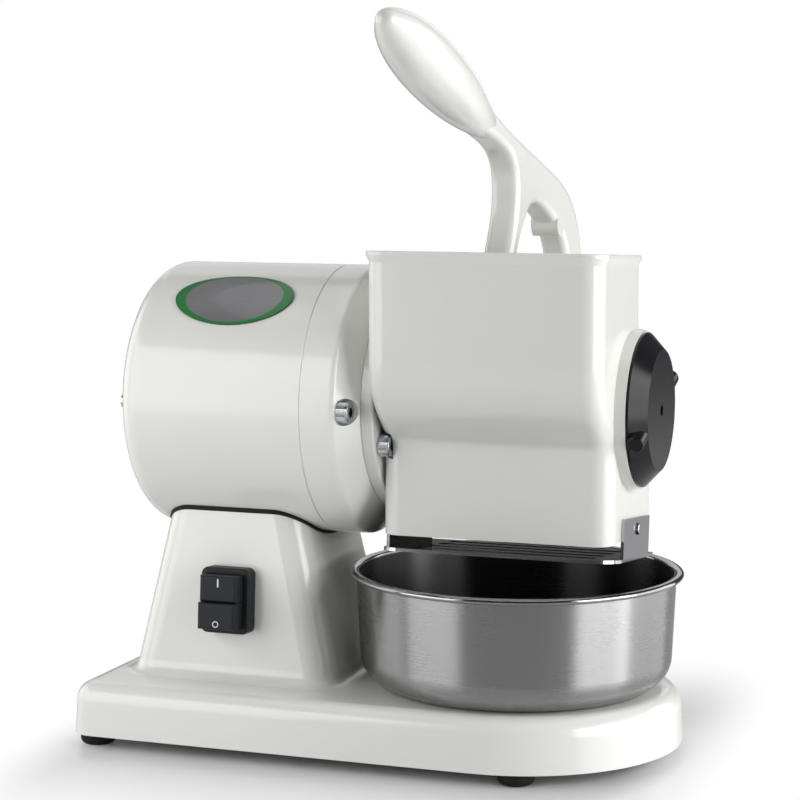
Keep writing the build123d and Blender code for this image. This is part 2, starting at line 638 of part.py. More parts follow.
def motor_shield():
    """Front shield with its skirt, bearing seat and the cone that rises to the hopper's flange."""
    shield = turned_x([
        (SEAM_X, 0), (SEAM_X, MOTOR_R), (SHIELD_CONE_X, MOTOR_R), (BOSS_FACE_X, BOSS_R), (BOSS_FACE_X, 0),
    ])
    shield = fillet(shield.edges().filter_by(GeomType.CIRCLE).sort_by(Axis.X)[1], SHIELD_EDGE_R)
    shield = chamfer(shield.edges().filter_by(GeomType.CIRCLE).sort_by(Axis.X)[0], SEAM_CHAMFER)
    shield = chamfer(shield.edges().filter_by(GeomType.CIRCLE).sort_by(Axis.X)[-1], SEAM_CHAMFER)
    for y, z in SHIELD_SCREW_PLACES:
        shield += cylinder_x(M6_HEAD_R + SHIELD_PAD_RIM, SEAM_X + SEAM_CHAMFER, SHIELD_FACE_X, y, z)
        shield -= cylinder_x(M6_HEAD_R + SCALLOP_GAP, SHIELD_FACE_X, BOSS_FACE_X, y, z)
    inner_x = SHIELD_FACE_X - SHIELD_FACE_T
    ring_room = tube_x(MOTOR_R - MOTOR_WALL, FRONT_BEARING_R + BEARING_SEAT_WALL, SEAM_X, inner_x)
    for y, z in SHIELD_SCREW_PLACES:
        ring_room -= cylinder_x(LUG_R, SEAM_X, inner_x, y, z)
    shield -= ring_room
    shield -= cylinder_x(FRONT_BEARING_R, SEAM_X, FRONT_BEARING_END_X)
    shield -= cylinder_x(SHAFT_R + SHIELD_BORE_GAP, SEAM_X, BOSS_FACE_X)
    for y, z in SHIELD_SCREW_PLACES:
        shield -= cylinder_x(M6_R + HOLE_CLEARANCE, SEAM_X, SHIELD_FACE_X, y, z)
    for y, z in HOPPER_SCREW_PLACES:
        shield -= cylinder_x(M6_R + THREAD_CLEARANCE, FLANGE_FACE_X - HOPPER_SCREW_REACH, BOSS_FACE_X, y, z)
    return shield


def shield_screws():
    """Cap screws that hold the shield to the motor housing."""
    return Compound(
        children=[cap_screw_x(SHIELD_FACE_X, SHIELD_SCREW_REACH, y, z) for y, z in SHIELD_SCREW_PLACES]
    )


def rear_screws():
    """Small screws in the motor's rear face."""
    screws = []
    for y, z in REAR_SCREW_PLACES:
        head = cylinder_x(REAR_SCREW_HEAD_R, MOTOR_REAR_X - REAR_SCREW_HEAD_H, MOTOR_REAR_X, y, z)
        screws.append(head + cylinder_x(REAR_SCREW_R, MOTOR_REAR_X, MOTOR_REAR_X + REAR_SCREW_REACH, y, z))
    return Compound(children=screws)


def rear_bearing():
    """Ball bearing at the motor's rear, as one ring."""
    return tube_x(REAR_BEARING_R, REAR_JOURNAL_R + RUNNING_FIT, REAR_WALL_X, REAR_BEARING_END_X)


def front_bearing():
    """Ball bearing in the shield, as one ring."""
    return tube_x(FRONT_BEARING_R, SHAFT_R + RUNNING_FIT, FRONT_BEARING_X, FRONT_BEARING_END_X)


def stator_core():
    """Laminated stator, pressed into the housing."""
    return tube_x(MOTOR_R - MOTOR_WALL, ROTOR_R + STATOR_GAP, STATOR_REAR_X, STATOR_FRONT_X)


def stator_windings():
    """End turns on both sides of the stator."""
    outer_r = MOTOR_R - MOTOR_WALL - WINDING_WALL_GAP
    starts = (STATOR_REAR_X - WINDING_REACH, STATOR_FRONT_X)
    return Compound(
        children=[tube_x(outer_r, ROTOR_R + WINDING_ROTOR_GAP, x, x + WINDING_REACH) for x in starts]
    )


def motor_shaft():
    """Stepped shaft from the rear bearing into the drum, cross-bored for the drive pin."""
    shoulder_x = REAR_BEARING_END_X + SHAFT_SHOULDER_GAP
    drum_shoulder_x = DRUM_LEFT_X - DRUM_SHOULDER_GAP
    shaft = cylinder_x(REAR_JOURNAL_R, REAR_WALL_X + SHAFT_END_GAP, shoulder_x)
    shaft += cylinder_x(SHAFT_R, shoulder_x, drum_shoulder_x)
    shaft += cylinder_x(DRIVE_R, drum_shoulder_x, DRUM_LEFT_X + DRIVE_LENGTH)
    return shaft - drive_pin()


def drive_pin():
    """Cross pin that turns the drum."""
    reach = DRIVE_R + DRIVE_PIN_REACH
    return cylinder_z(DRIVE_PIN_R, AXIS_Z - reach, AXIS_Z + reach, DRUM_LEFT_X + DRIVE_PIN_R)


def rotor_core():
    """Laminated rotor on the shaft."""
    return tube_x(ROTOR_R, SHAFT_R, STATOR_REAR_X, STATOR_FRONT_X)


def rotor_end_rings():
    """Cast rings at both ends of the rotor cage."""
    starts = (STATOR_REAR_X - END_RING_T, STATOR_FRONT_X)
    return Compound(children=[tube_x(ROTOR_R - END_RING_STEP, SHAFT_R, x, x + END_RING_T) for x in starts])


def oval_plate():
    """Bare oval plate that follows the motor's round side."""
    angle = math.radians(OVAL_ANGLE)
    normal = (0, -math.cos(angle), math.sin(angle))
    place = Plane(origin=(SEAM_X - OVAL_BEHIND_SEAM, 0, AXIS_Z), x_dir=(1, 0, 0), z_dir=normal)
    column = extrude(place * Ellipse(OVAL_LENGTH / 2, OVAL_HEIGHT / 2), MOTOR_R + 2 * OVAL_T)
    return column & tube_x(MOTOR_R + OVAL_T, MOTOR_R, MOTOR_REAR_X, SEAM_X)


# Hopper

def hopper_profile(inset, top_z, bottom_z):
    """Side outline of the hopper in the Y-Z plane, drawn in by an inset."""
    front = CHUTE_FRONT_Y + inset
    back = CHUTE_BACK_Y - inset
    outlet = OUTLET_HALF_Y - inset
    front_shift = inset * math.tan(0.5 * math.atan2(
        CHUTE_FRONT_Y + OUTLET_HALF_Y, FRONT_SLOPE_TOP_Z - FRONT_SLOPE_LOW_Z))
    back_shift = inset * math.tan(0.5 * math.atan2(
        OUTLET_HALF_Y - CHUTE_BACK_Y, BACK_SLOPE_TOP_Z - BACK_SLOPE_LOW_Z))
    points = [
        (front, top_z),
        (front, FRONT_SLOPE_TOP_Z - front_shift),
        (-outlet, FRONT_SLOPE_LOW_Z - front_shift),
        (-outlet, bottom_z),
        (outlet, bottom_z),
        (outlet, BACK_SLOPE_LOW_Z - back_shift),
        (back, BACK_SLOPE_TOP_Z - back_shift),
        (back, top_z),
    ]
    outline = make_face(Polyline(points, close=True))
    bends = [v for v in outline.vertices() if bottom_z + CUT_OVER < v.Y < top_z - CUT_OVER]
    front_bend = min(bends, key=lambda v: v.X)
    outline = fillet([v for v in bends if v is not front_bend], CREASE_R)
    front_bend = min(outline.vertices().filter_by(lambda v: v.Y < top_z - CUT_OVER), key=lambda v: v.X)
    return fillet(front_bend, FRONT_BEND_R - inset)


def hopper_block(inset, x0, x1, top_z, bottom_z, corner_r):
    """Hopper outline drawn out along X with its standing corners rounded."""
    outline = Plane.YZ.offset(x0) * hopper_profile(inset, top_z, bottom_z)
    solid = extrude(outline, x1 - x0)
    corners = [
        e
        for e in solid.edges()
        if min(abs(e.center().X - x0), abs(e.center().X - x1)) < CUT_OVER
        and bottom_z + CUT_OVER < e.center().Z < top_z - CUT_OVER
    ]
    return fillet(corners, corner_r)


RIM_PLACE = Pos(FLANGE_FACE_X + HOPPER_LENGTH / 2, CHUTE_MID_Y, HOPPER_RIM_Z) * Rot(-RIM_TILT, 0, 0)


def lip_section(z, proud):
    """Level outline of the lip in the rim's own frame, standing proud of the chute."""
    length = HOPPER_LENGTH + 2 * proud
    return Pos(0, 0, z) * RectangleRounded(length, CHUTE_WIDTH + 2 * proud, HOPPER_CORNER_R + proud)


def hopper_lip():
    """Flared lip round the mouth, leaning down towards the back with the rim."""
    flare_low = lip_section(-LIP_T - LIP_FLARE_H, -LIP_ROOT)
    flare = loft([flare_low, lip_section(-LIP_T, LIP_PROUD)], ruled=True)
    band = extrude(lip_section(-LIP_T, LIP_PROUD), LIP_T)
    return RIM_PLACE * (flare + fillet(band.edges().group_by(Axis.Z)[-1], LIP_EDGE_R))


def hinge_lugs():
    """Pair of webs from the hopper's back wall that carry the lever's pin."""
    root = Pos(CHUTE_BACK_Y - LUG_ROOT_DEPTH, HINGE_Z) * Rectangle(LUG_ROOT_DEPTH, LUG_ROOT_H)
    outline = make_hull((Pos(HINGE_Y, HINGE_Z) * Circle(LEVER_LUG_R) + root).edges())
    starts = (CAVITY_MID_X - LUG_OUTER, CAVITY_MID_X + LUG_INNER)
    return [extrude(Plane.YZ.offset(x) * outline, LEVER_LUG_T) for x in starts]


def hopper_flange():
    """Round flange that meets the motor shield, its free edge rounded."""
    flange = cylinder_x(BOSS_R, BOSS_FACE_X, FLANGE_FACE_X)
    flange = chamfer(flange.edges().filter_by(GeomType.CIRCLE).sort_by(Axis.X)[0], SEAM_CHAMFER)
    return fillet(flange.edges().filter_by(GeomType.CIRCLE).sort_by(Axis.X)[-1], FLANGE_EDGE_R)


def hopper_body():
    """Hopper casting: flange, chute, outlet, cap boss and hinge lugs."""
    over_rim_z = HOPPER_RIM_Z + 2 * HOPPER_WALL
    inner_r = HOPPER_CORNER_R - HOPPER_WALL / 2
    body = hopper_block(0, FLANGE_FACE_X, HOPPER_RIGHT_X, over_rim_z, HOPPER_BOTTOM_Z, HOPPER_CORNER_R)
    body -= RIM_PLACE * Pos(0, 0, HOPPER_RISE / 2) * Box(2 * HOPPER_LENGTH, 2 * HOPPER_LENGTH, HOPPER_RISE)
    body += hopper_lip()
    body += hopper_flange()
    body += turned_x([
        (CAVITY_RIGHT_X, 0), (CAVITY_RIGHT_X, CAP_BOSS_R + CAP_BOSS_DRAFT), (CAP_SEAT_X, CAP_BOSS_R),
        (CAP_SEAT_X, 0),
    ])
    body += hinge_lugs()
    under_outlet_z = HOPPER_BOTTOM_Z - HOPPER_WALL
    body -= hopper_block(HOPPER_WALL, CAVITY_LEFT_X, CAVITY_RIGHT_X, over_rim_z, under_outlet_z, inner_r)
    body -= cylinder_x(DRUM_BORE_R, CAVITY_MID_X, CAP_SEAT_X)
    body -= cylinder_x(SEAL_R, BOSS_FACE_X, BOSS_FACE_X + SEAL_T)
    body -= cylinder_x(SHAFT_R + NECK_BORE_GAP, BOSS_FACE_X, CAVITY_MID_X)
    for y, z in HOPPER_SCREW_PLACES:
        body -= cylinder_x(M6_R + HOLE_CLEARANCE, BOSS_FACE_X, FLANGE_FACE_X, y, z)
        body -= cylinder_x(M6_HEAD_R + SCALLOP_GAP, FLANGE_FACE_X, CAVITY_LEFT_X - SCALLOP_FLOOR, y, z)
    body -= cylinder_x(HINGE_PIN_R, CAVITY_MID_X - LUG_OUTER, CAVITY_MID_X + LUG_OUTER, HINGE_Y, HINGE_Z)
    for x0 in (FLANGE_FACE_X, HOPPER_RIGHT_X - HOPPER_WALL):
        body -= GUARD_PLACE * cylinder_x(
            GUARD_SCREW_R + THREAD_CLEARANCE, x0, x0 + HOPPER_WALL, GUARD_SCREW_BACK, GUARD_SCREW_UP
        )
    return body


def hopper_screws():
    """Cap screws that hold the hopper's flange to the motor shield."""
    return Compound(
        children=[cap_screw_x(FLANGE_FACE_X, HOPPER_SCREW_REACH, y, z) for y, z in HOPPER_SCREW_PLACES]
    )


def shaft_seal():
    """Lip seal between motor and hopper."""
    return tube_x(SEAL_R, SHAFT_R + RUNNING_FIT, BOSS_FACE_X, BOSS_FACE_X + SEAL_T)


# Outlet guard: its own Y runs back from the front edge of its floor, and it leans down towards the back

GUARD_PLACE = Pos(0, GUARD_FRONT_Y, GUARD_FRONT_Z) * Rot(-GUARD_TILT, 0, 0)


def outlet_guard():
    """Bent sheet under the outlet, slotted, with a tab up each side of the hopper."""
    left = FLANGE_FACE_X - GUARD_T
    right = HOPPER_RIGHT_X + GUARD_T
    left_end = GUARD_LENGTH - GUARD_LEFT_TAB_END_GAP
    right_end = GUARD_LENGTH - GUARD_RIGHT_TAB_END_GAP
    sheet = block(left, right, 0, GUARD_LENGTH, -GUARD_T, 0)
    for start, end in ((GUARD_LEFT_TAB_START, 0), (GUARD_RIGHT_TAB_START, -1)):
        front_corner = sheet.edges().filter_by(Axis.Z).group_by(Axis.Y)[0].sort_by(Axis.X)[end]
        sheet = fillet(front_corner, start - GUARD_CORNER_GAP)
    for tab in (
        block(left, FLANGE_FACE_X, GUARD_LEFT_TAB_START, left_end, -GUARD_T, GUARD_LEFT_TAB_H),
        block(HOPPER_RIGHT_X, right, GUARD_RIGHT_TAB_START, right_end, -GUARD_T, GUARD_RIGHT_TAB_H),
    ):
        sheet += fillet(tab.edges().filter_by(Axis.X).group_by(Axis.Z)[-1], GUARD_TAB_CORNER_R)
    pitch = (GUARD_LENGTH - GUARD_BAR_W) / GUARD_SLOT_COUNT
    for i in range(GUARD_SLOT_COUNT):
        sheet -= block(
            CAVITY_LEFT_X + GUARD_SLOT_END, CAVITY_RIGHT_X - GUARD_SLOT_END,
            GUARD_BAR_W + pitch * i, pitch * (i + 1), -GUARD_T - CUT_OVER, CUT_OVER,
        )
    sheet -= cylinder_x(
        GUARD_SCREW_R + HOLE_CLEARANCE, left - CUT_OVER, right + CUT_OVER, GUARD_SCREW_BACK, GUARD_SCREW_UP
    )
    return GUARD_PLACE * sheet


def guard_screws():
    """Pan screws through the guard's tabs into the hopper's walls."""
    screws = []
    for wall_x, out in ((FLANGE_FACE_X, -1), (HOPPER_RIGHT_X, 1)):
        seat = wall_x + out * GUARD_T
        tip = wall_x - out * (HOPPER_WALL - GUARD_SCREW_TIP_GAP)
        head = cylinder_x(
            GUARD_SCREW_HEAD_R, seat, seat + out * GUARD_SCREW_HEAD_H, GUARD_SCREW_BACK, GUARD_SCREW_UP
        )
        head_rings = head.edges().filter_by(GeomType.CIRCLE).sort_by(Axis.X)
        head = fillet(head_rings[-1] if out > 0 else head_rings[0], GUARD_SCREW_HEAD_EDGE_R)
        shank = cylinder_x(GUARD_SCREW_R, seat, tip, GUARD_SCREW_BACK, GUARD_SCREW_UP)
        screws.append(GUARD_PLACE * (head + shank))
    return Compound(children=screws)


# Grating drum and cap

def grating_drum():
    """Pierced tube, its holes in staggered rows."""
    tube = tube_x(DRUM_R, DRUM_R - DRUM_WALL, DRUM_LEFT_X, DRUM_RIGHT_X)
    first = DRUM_LEFT_X + DRUM_PLATE_T + DRIVE_PIN_R + DRUM_HOLE_MARGIN
    last = DRUM_RIGHT_X - DRUM_PLATE_T - DRUM_HOLE_MARGIN
    step = 360 / DRUM_HOLES_ROUND
    holes = []
    for row in range(DRUM_HOLE_ROWS):
        x = first + (last - first) * row / (DRUM_HOLE_ROWS - 1)
        for k in range(DRUM_HOLES_ROUND):
            turn = step * (k + 0.5 * (row % 2))
            hole = Pos(0, 0, DRUM_R - DRUM_WALL / 2) * Cylinder(DRUM_HOLE_R, 2 * DRUM_WALL + CUT_OVER)
            holes.append(Pos(x, 0, AXIS_Z) * Rot(turn, 0, 0) * hole)
    return tube - holes


def drum_hub():
    """Drive plate and hub at the motor end, slotted for the drive pin."""
    hub = cylinder_x(DRUM_R - DRUM_WALL, DRUM_LEFT_X, DRUM_LEFT_X + DRUM_PLATE_T + DRIVE_PIN_R)
    hub += cylinder_x(DRUM_HUB_R, DRUM_LEFT_X, DRUM_LEFT_X + DRUM_HUB_LENGTH)
    hub -= cylinder_x(DRIVE_R + RUNNING_FIT, DRUM_LEFT_X, DRUM_LEFT_X + DRUM_HUB_LENGTH)
    half_w = DRIVE_PIN_R + PIN_SLOT_CLEARANCE
    half_h = DRIVE_R + DRIVE_PIN_REACH + PIN_SLOT_CLEARANCE
    end_x = DRUM_LEFT_X + 2 * DRIVE_PIN_R + PIN_SLOT_CLEARANCE
    return hub - block(DRUM_LEFT_X - CUT_OVER, end_x, -half_w, half_w, AXIS_Z - half_h, AXIS_Z + half_h)


def drum_end_plate():
    """Plate at the cap end of the drum."""
    return tube_x(DRUM_R - DRUM_WALL, DRUM_BUSH_R, DRUM_RIGHT_X - DRUM_PLATE_T, DRUM_RIGHT_X)


def drum_bush():
    """Bearing bush in the end plate."""
    return tube_x(DRUM_BUSH_R, CAP_AXLE_R + RUNNING_FIT, DRUM_RIGHT_X - DRUM_BUSH_LENGTH, DRUM_RIGHT_X)


def cap_axle():
    """Steel axle in the cap on which the drum's end runs."""
    return cylinder_x(CAP_AXLE_R, DRUM_RIGHT_X - DRUM_BUSH_LENGTH, CAP_FACE_X - CAP_AXLE_COVER)


def peg_place(side):
    """Frame of a peg, its Z running outwards from the motor axis."""
    return Pos(CAP_FACE_X - PEG_SETBACK, 0, AXIS_Z) * Rot(side * 90 + PEG_ANGLE, 0, 0)


def drum_cap():
    """Conical cap with a spigot in the boss, bored for its axle and its pegs."""
    spigot_r = DRUM_BORE_R - RUNNING_FIT
    cap = turned_x([
        (SPIGOT_END_X, 0),
        (SPIGOT_END_X, spigot_r),
        (CAP_SEAT_X, spigot_r),
        (CAP_SEAT_X, CAP_R),
        (CAP_SEAT_X + CAP_RIM_T, CAP_R),
        (CAP_FACE_X, CAP_FACE_R),
        (CAP_FACE_X, 0),
    ])
    cap -= cylinder_x(CAP_AXLE_R + RUNNING_FIT, SPIGOT_END_X, CAP_FACE_X - CAP_AXLE_COVER)
    cap -= cylinder_x(CAP_HOLE_R, SPIGOT_END_X, CAP_FACE_X)
    bore_end = CAP_R + PEG_R
    for side in (-1, 1):
        bore = Pos(0, 0, (PEG_ROOT_R + bore_end) / 2) * Cylinder(PEG_R, bore_end - PEG_ROOT_R)
        cap -= peg_place(side) * bore
    return cap


def cap_pegs():
    """Two pegs that the hand turns the cap by."""
    pegs = []
    for side in (-1, 1):
        peg = Pos(0, 0, (PEG_ROOT_R + PEG_END_R) / 2) * Cylinder(PEG_R, PEG_LENGTH)
        peg = fillet(peg.edges().filter_by(GeomType.CIRCLE).sort_by(Axis.Z)[-1], PEG_EDGE_R)
        pegs.append(peg_place(side) * peg)
    return Compound(children=pegs)


# Lever and presser

def from_hinge(*points):
    """Points of the lever's outline, given from its hinge."""
    return [(HINGE_Y + y, HINGE_Z + z) for y, z in points]


def lever_points(shares):
    """Points of the lever's outline, given as shares of the way from its hinge to its neck."""
    return from_hinge(*[(NECK_Y * along, NECK_Z * up) for along, up in shares])


def lever_outline():
    """Side outline of the lever in the Y-Z plane: neck, arch, leg and rear arm; its end is in the grip."""
    slope = math.radians(GRIP_SLOPE)
    across_y = math.sin(slope) * GRIP_NECK_R
    across_z = math.cos(slope) * GRIP_NECK_R
    end_y = NECK_Y - math.cos(slope) * GRIP_OVERLAP
    end_z = NECK_Z + math.sin(slope) * GRIP_OVERLAP
    neck_low, neck_top = from_hinge(
        (end_y - across_y, end_z - across_z), (end_y + across_y, end_z + across_z)
    )
    web_at_hub = LEVER_HUB_R - LEVER_HUB_SHOULDER
    hub_front, hub_back = from_hinge((-web_at_hub, 0), (web_at_hub, 0))
    foot_z = PRESSER_TOP_Z + LEG_FOOT_H / 2
    foot_front = (LEG_FOOT_Y - LEG_W / 2, foot_z)
    foot_back = (LEG_FOOT_Y + LEG_W / 2, foot_z)
    leg_front = Spline(neck_low, *lever_points(LEVER_LEG_SHARES), foot_front)
    leg_foot = Line(foot_front, foot_back)
    arch = Spline(foot_back, *lever_points(LEVER_ARCH_SHARES), hub_front)
    hub_side = Line(hub_front, hub_back)
    crown = Spline(hub_back, *lever_points(LEVER_CROWN_SHARES), neck_top)
    close = Line(neck_top, neck_low)
    return make_face(Curve() + [leg_front, leg_foot, arch, hub_side, crown, close])


def lever_grip():
    """Spindle-shaped grip along the sloping end of the lever, its round root inside the web."""
    turn = math.radians(GRIP_TIP_TURN)
    tip_x = GRIP_LENGTH - GRIP_TIP_R
    tip = CenterArc((tip_x, 0), GRIP_TIP_R, 0, GRIP_TIP_TURN)
    shoulder = (tip_x + GRIP_TIP_R * math.cos(turn), GRIP_TIP_R * math.sin(turn))
    side = Spline(
        (-GRIP_ROOT_LENGTH, GRIP_ROOT_R), (0, GRIP_NECK_R), (0.5 * GRIP_LENGTH, GRIP_R), shoulder,
        tangents=((1, 0), (math.sin(turn), -math.cos(turn))),
    )
    base = Polyline((GRIP_LENGTH, 0), (-GRIP_ROOT_LENGTH, 0), (-GRIP_ROOT_LENGTH, GRIP_ROOT_R))
    spindle = revolve(make_face(Curve() + [tip, side, base]), Axis.X)
    neck_y, neck_z = from_hinge((NECK_Y, NECK_Z))[0]
    return Pos(CAVITY_MID_X, neck_y, neck_z) * Rot(0, 0, -90) * Rot(0, -GRIP_SLOPE, 0) * spindle


def lever_arm():
    """Lever casting: grip, neck, arch over the hopper's back wall, hub and leg."""
    left = CAVITY_MID_X - LEVER_T / 2
    right = CAVITY_MID_X + LEVER_T / 2
    web = extrude(Plane.YZ.offset(left) * lever_outline(), LEVER_T)
    sides = web.edges().filter_by(GeomType.BSPLINE)
    rounded = [e for e in sides if abs(abs(e.center().X - CAVITY_MID_X) - LEVER_T / 2) < CUT_OVER]
    arm = fillet(rounded, LEVER_EDGE_R)
    arm += lever_grip()
    hub_x0 = CAVITY_MID_X - LEVER_HUB_W / 2
    hub_x1 = CAVITY_MID_X + LEVER_HUB_W / 2
    arm += cylinder_x(LEVER_HUB_R, hub_x0, hub_x1, HINGE_Y, HINGE_Z)
    nub_y, nub_z = from_hinge((LEVER_NUB_Y, LEVER_NUB_Z))[0]
    arm += cylinder_x(LEVER_NUB_R, left, right, nub_y, nub_z)
    foot_top = PRESSER_TOP_Z + LEG_FOOT_H
    arm += block(
        CAVITY_MID_X - LEG_FOOT_W / 2, CAVITY_MID_X + LEG_FOOT_W / 2,
        LEG_FOOT_Y - LEG_FOOT_LENGTH / 2, LEG_FOOT_Y + LEG_FOOT_LENGTH / 2, PRESSER_TOP_Z, foot_top,
    )
    arm -= cylinder_x(HINGE_PIN_R + RUNNING_FIT, hub_x0, hub_x1, HINGE_Y, HINGE_Z)
    thread_top = foot_top - SCREW_TIP_GAP
    for x in PRESSER_SCREW_XS:
        arm -= cylinder_z(PRESSER_SCREW_R + THREAD_CLEARANCE, PRESSER_TOP_Z, thread_top, x, LEG_FOOT_Y)
    return arm


def presser():
    """Block under the lever's foot that presses the cheese on the drum."""
    body = block(
        CAVITY_LEFT_X + PRESSER_SIDE_GAP, CAVITY_RIGHT_X - PRESSER_SIDE_GAP,
        PRESSER_FRONT_Y, PRESSER_BACK_Y, PRESSER_Z, PRESSER_TOP_Z,
    )
    body = fillet(body.edges().filter_by(Axis.Z), PRESSER_CORNER_R)
    seat_z = PRESSER_Z + PRESSER_SCREW_SEAT
    for x in PRESSER_SCREW_XS:
        body -= cylinder_z(PRESSER_SCREW_R + HOLE_CLEARANCE, PRESSER_Z, PRESSER_TOP_Z, x, LEG_FOOT_Y)
        body -= cylinder_z(PRESSER_SCREW_HEAD_R + HOLE_CLEARANCE, PRESSER_Z, seat_z, x, LEG_FOOT_Y)
    return body


def presser_screws():
    """Screws up through the presser into the lever's foot."""
    seat_z = PRESSER_Z + PRESSER_SCREW_SEAT
    tip_z = PRESSER_TOP_Z + LEG_FOOT_H - 2 * SCREW_TIP_GAP
    screws = []
    for x in PRESSER_SCREW_XS:
        head = cylinder_z(PRESSER_SCREW_HEAD_R, seat_z - PRESSER_SCREW_HEAD_H, seat_z, x, LEG_FOOT_Y)
        screws.append(head + cylinder_z(PRESSER_SCREW_R, seat_z, tip_z, x, LEG_FOOT_Y))
    return Compound(children=screws)


def lever_pin():
    """Hinge pin through the hopper's lugs and the lever's hub."""
    pin = cylinder_x(HINGE_PIN_R, CAVITY_MID_X - PIN_HALF, CAVITY_MID_X + PIN_HALF, HINGE_Y, HINGE_Z)
    return chamfer(pin.edges().filter_by(GeomType.CIRCLE), HINGE_PIN_CHAMFER)


def pin_rings():
    """Push-on rings that keep the hinge pin in its lugs."""
    rings = []
    for side in (-1, 1):
        lug_x = CAVITY_MID_X + side * LUG_OUTER
        rings.append(tube_x(RING_R, HINGE_PIN_R, lug_x, lug_x + side * RING_T, HINGE_Y, HINGE_Z))
    return Compound(children=rings)


# Bowl

def bowl():
    """Round bowl with a rounded bottom corner and a rolled rim."""
    outer_r = BOWL_RIM_R - 2 * BOWL_BEAD_R + BOWL_WALL
    inner_r = outer_r - BOWL_WALL
    inner_z = BASE_TOP + BOWL_WALL
    outer = make_face(Polyline(
        (0, 0, BASE_TOP), (outer_r - BOWL_TAPER, 0, BASE_TOP), (outer_r, 0, BOWL_RIM_Z),
        (0, 0, BOWL_RIM_Z), close=True,
    ))
    inner = make_face(Polyline(
        (0, 0, inner_z), (inner_r - BOWL_TAPER, 0, inner_z), (inner_r, 0, BOWL_RIM_Z),
        (inner_r, 0, BOWL_RIM_Z + 2 * BOWL_BEAD_R), (0, 0, BOWL_RIM_Z + 2 * BOWL_BEAD_R), close=True,
    ))
    shell = revolve(outer, Axis.Z)
    shell = fillet(shell.edges().filter_by(GeomType.CIRCLE).sort_by(Axis.Z)[0], BOWL_CORNER_R)
    room = revolve(inner, Axis.Z)
    room = fillet(room.edges().filter_by(GeomType.CIRCLE).sort_by(Axis.Z)[0], BOWL_INNER_CORNER_R)
    bead_place = Plane.XZ * Pos(BOWL_RIM_R - BOWL_BEAD_R, BOWL_RIM_Z)
    bead = revolve(bead_place * Ellipse(BOWL_BEAD_R, BOWL_BEAD_HALF_H), Axis.Z)
    return Pos(BOWL_X, 0, 0) * (shell - room + bead)


# Switch

def switch_body():
    """Collar and body of the switch, with an open well for the two buttons."""
    collar_w = SWITCH_BODY_W + 2 * COLLAR_LIP
    collar_h = SWITCH_BODY_H + 2 * COLLAR_LIP
    collar = extrude(RectangleRounded(collar_w, collar_h, COLLAR_CORNER_R), COLLAR_DEPTH)
    collar = fillet(collar.edges().group_by(Axis.Z)[-1], BUTTON_EDGE_R)
    body = collar + Pos(0, 0, -SWITCH_DEPTH / 2) * Box(SWITCH_BODY_W, SWITCH_BODY_H, SWITCH_DEPTH)
    well_w = SWITCH_BODY_W - 2 * SWITCH_WALL
    well_h = SWITCH_BODY_H - 2 * SWITCH_WALL
    body -= Pos(0, 0, COLLAR_DEPTH - WELL_DEPTH / 2) * Box(well_w, well_h, WELL_DEPTH)
    return SWITCH_PLANE * body


def switch_button(side, proud):
    """Push button in the switch's well, side +1 for the upper and -1 for the lower one."""
    width = SWITCH_BODY_W - 2 * SWITCH_WALL - 2 * BUTTON_CLEARANCE
    height = (SWITCH_BODY_H - 2 * SWITCH_WALL - 3 * BUTTON_CLEARANCE) / 2
    low = COLLAR_DEPTH - WELL_DEPTH + BUTTON_TRAVEL + BUTTON_END_GAP
    high = COLLAR_DEPTH + proud
    button = Pos(0, side * (height + BUTTON_CLEARANCE) / 2, (low + high) / 2) * Box(width, height, high - low)
    button = fillet(button.edges().group_by(Axis.Z)[-1], BUTTON_EDGE_R)
    return SWITCH_PLANE * button


# Electrical parts

def capacitor():
    """Run capacitor standing on the bottom plate inside the column."""
    can = cylinder_z(CAPACITOR_R, PLATE_TOP, PLATE_TOP + CAPACITOR_H, CAPACITOR_X, CAPACITOR_Y)
    return fillet(can.edges().filter_by(GeomType.CIRCLE).sort_by(Axis.Z)[-1], CAPACITOR_EDGE_R)


def capacitor_clip():
    """Ring clip that holds the capacitor, with its foot on the bottom plate."""
    inner_r = CAPACITOR_R + CLIP_CLEARANCE
    ring = cylinder_z(inner_r + CLIP_T, PLATE_TOP, PLATE_TOP + CLIP_H, CAPACITOR_X, CAPACITOR_Y)
    ring += block(
        CAPACITOR_X, CAPACITOR_X + inner_r + CLIP_H, CAPACITOR_Y - CLIP_H / 2, CAPACITOR_Y + CLIP_H / 2,
        PLATE_TOP, PLATE_TOP + CLIP_T,
    )
    return ring - cylinder_z(inner_r, PLATE_TOP, PLATE_TOP + CLIP_H, CAPACITOR_X, CAPACITOR_Y)


def terminal_block():
    """Block where the lead, switch and motor wires meet."""
    top = PLATE_TOP + TERMINAL_H
    body = block(
        TERMINAL_X - TERMINAL_L / 2, TERMINAL_X + TERMINAL_L / 2,
        TERMINAL_Y - TERMINAL_W / 2, TERMINAL_Y + TERMINAL_W / 2, PLATE_TOP, top,
    )
    pitch = TERMINAL_L / TERMINAL_WELLS
    for i in range(TERMINAL_WELLS):
        x = TERMINAL_X - TERMINAL_L / 2 + pitch * (i + 0.5)
        body -= cylinder_z(TERMINAL_WELL_R, top - TERMINAL_WELL_DEPTH, top, x, TERMINAL_Y)
    return body


GLAND_SEAT = COLUMN_WALL * math.cos(math.radians(SIDE_TILT))


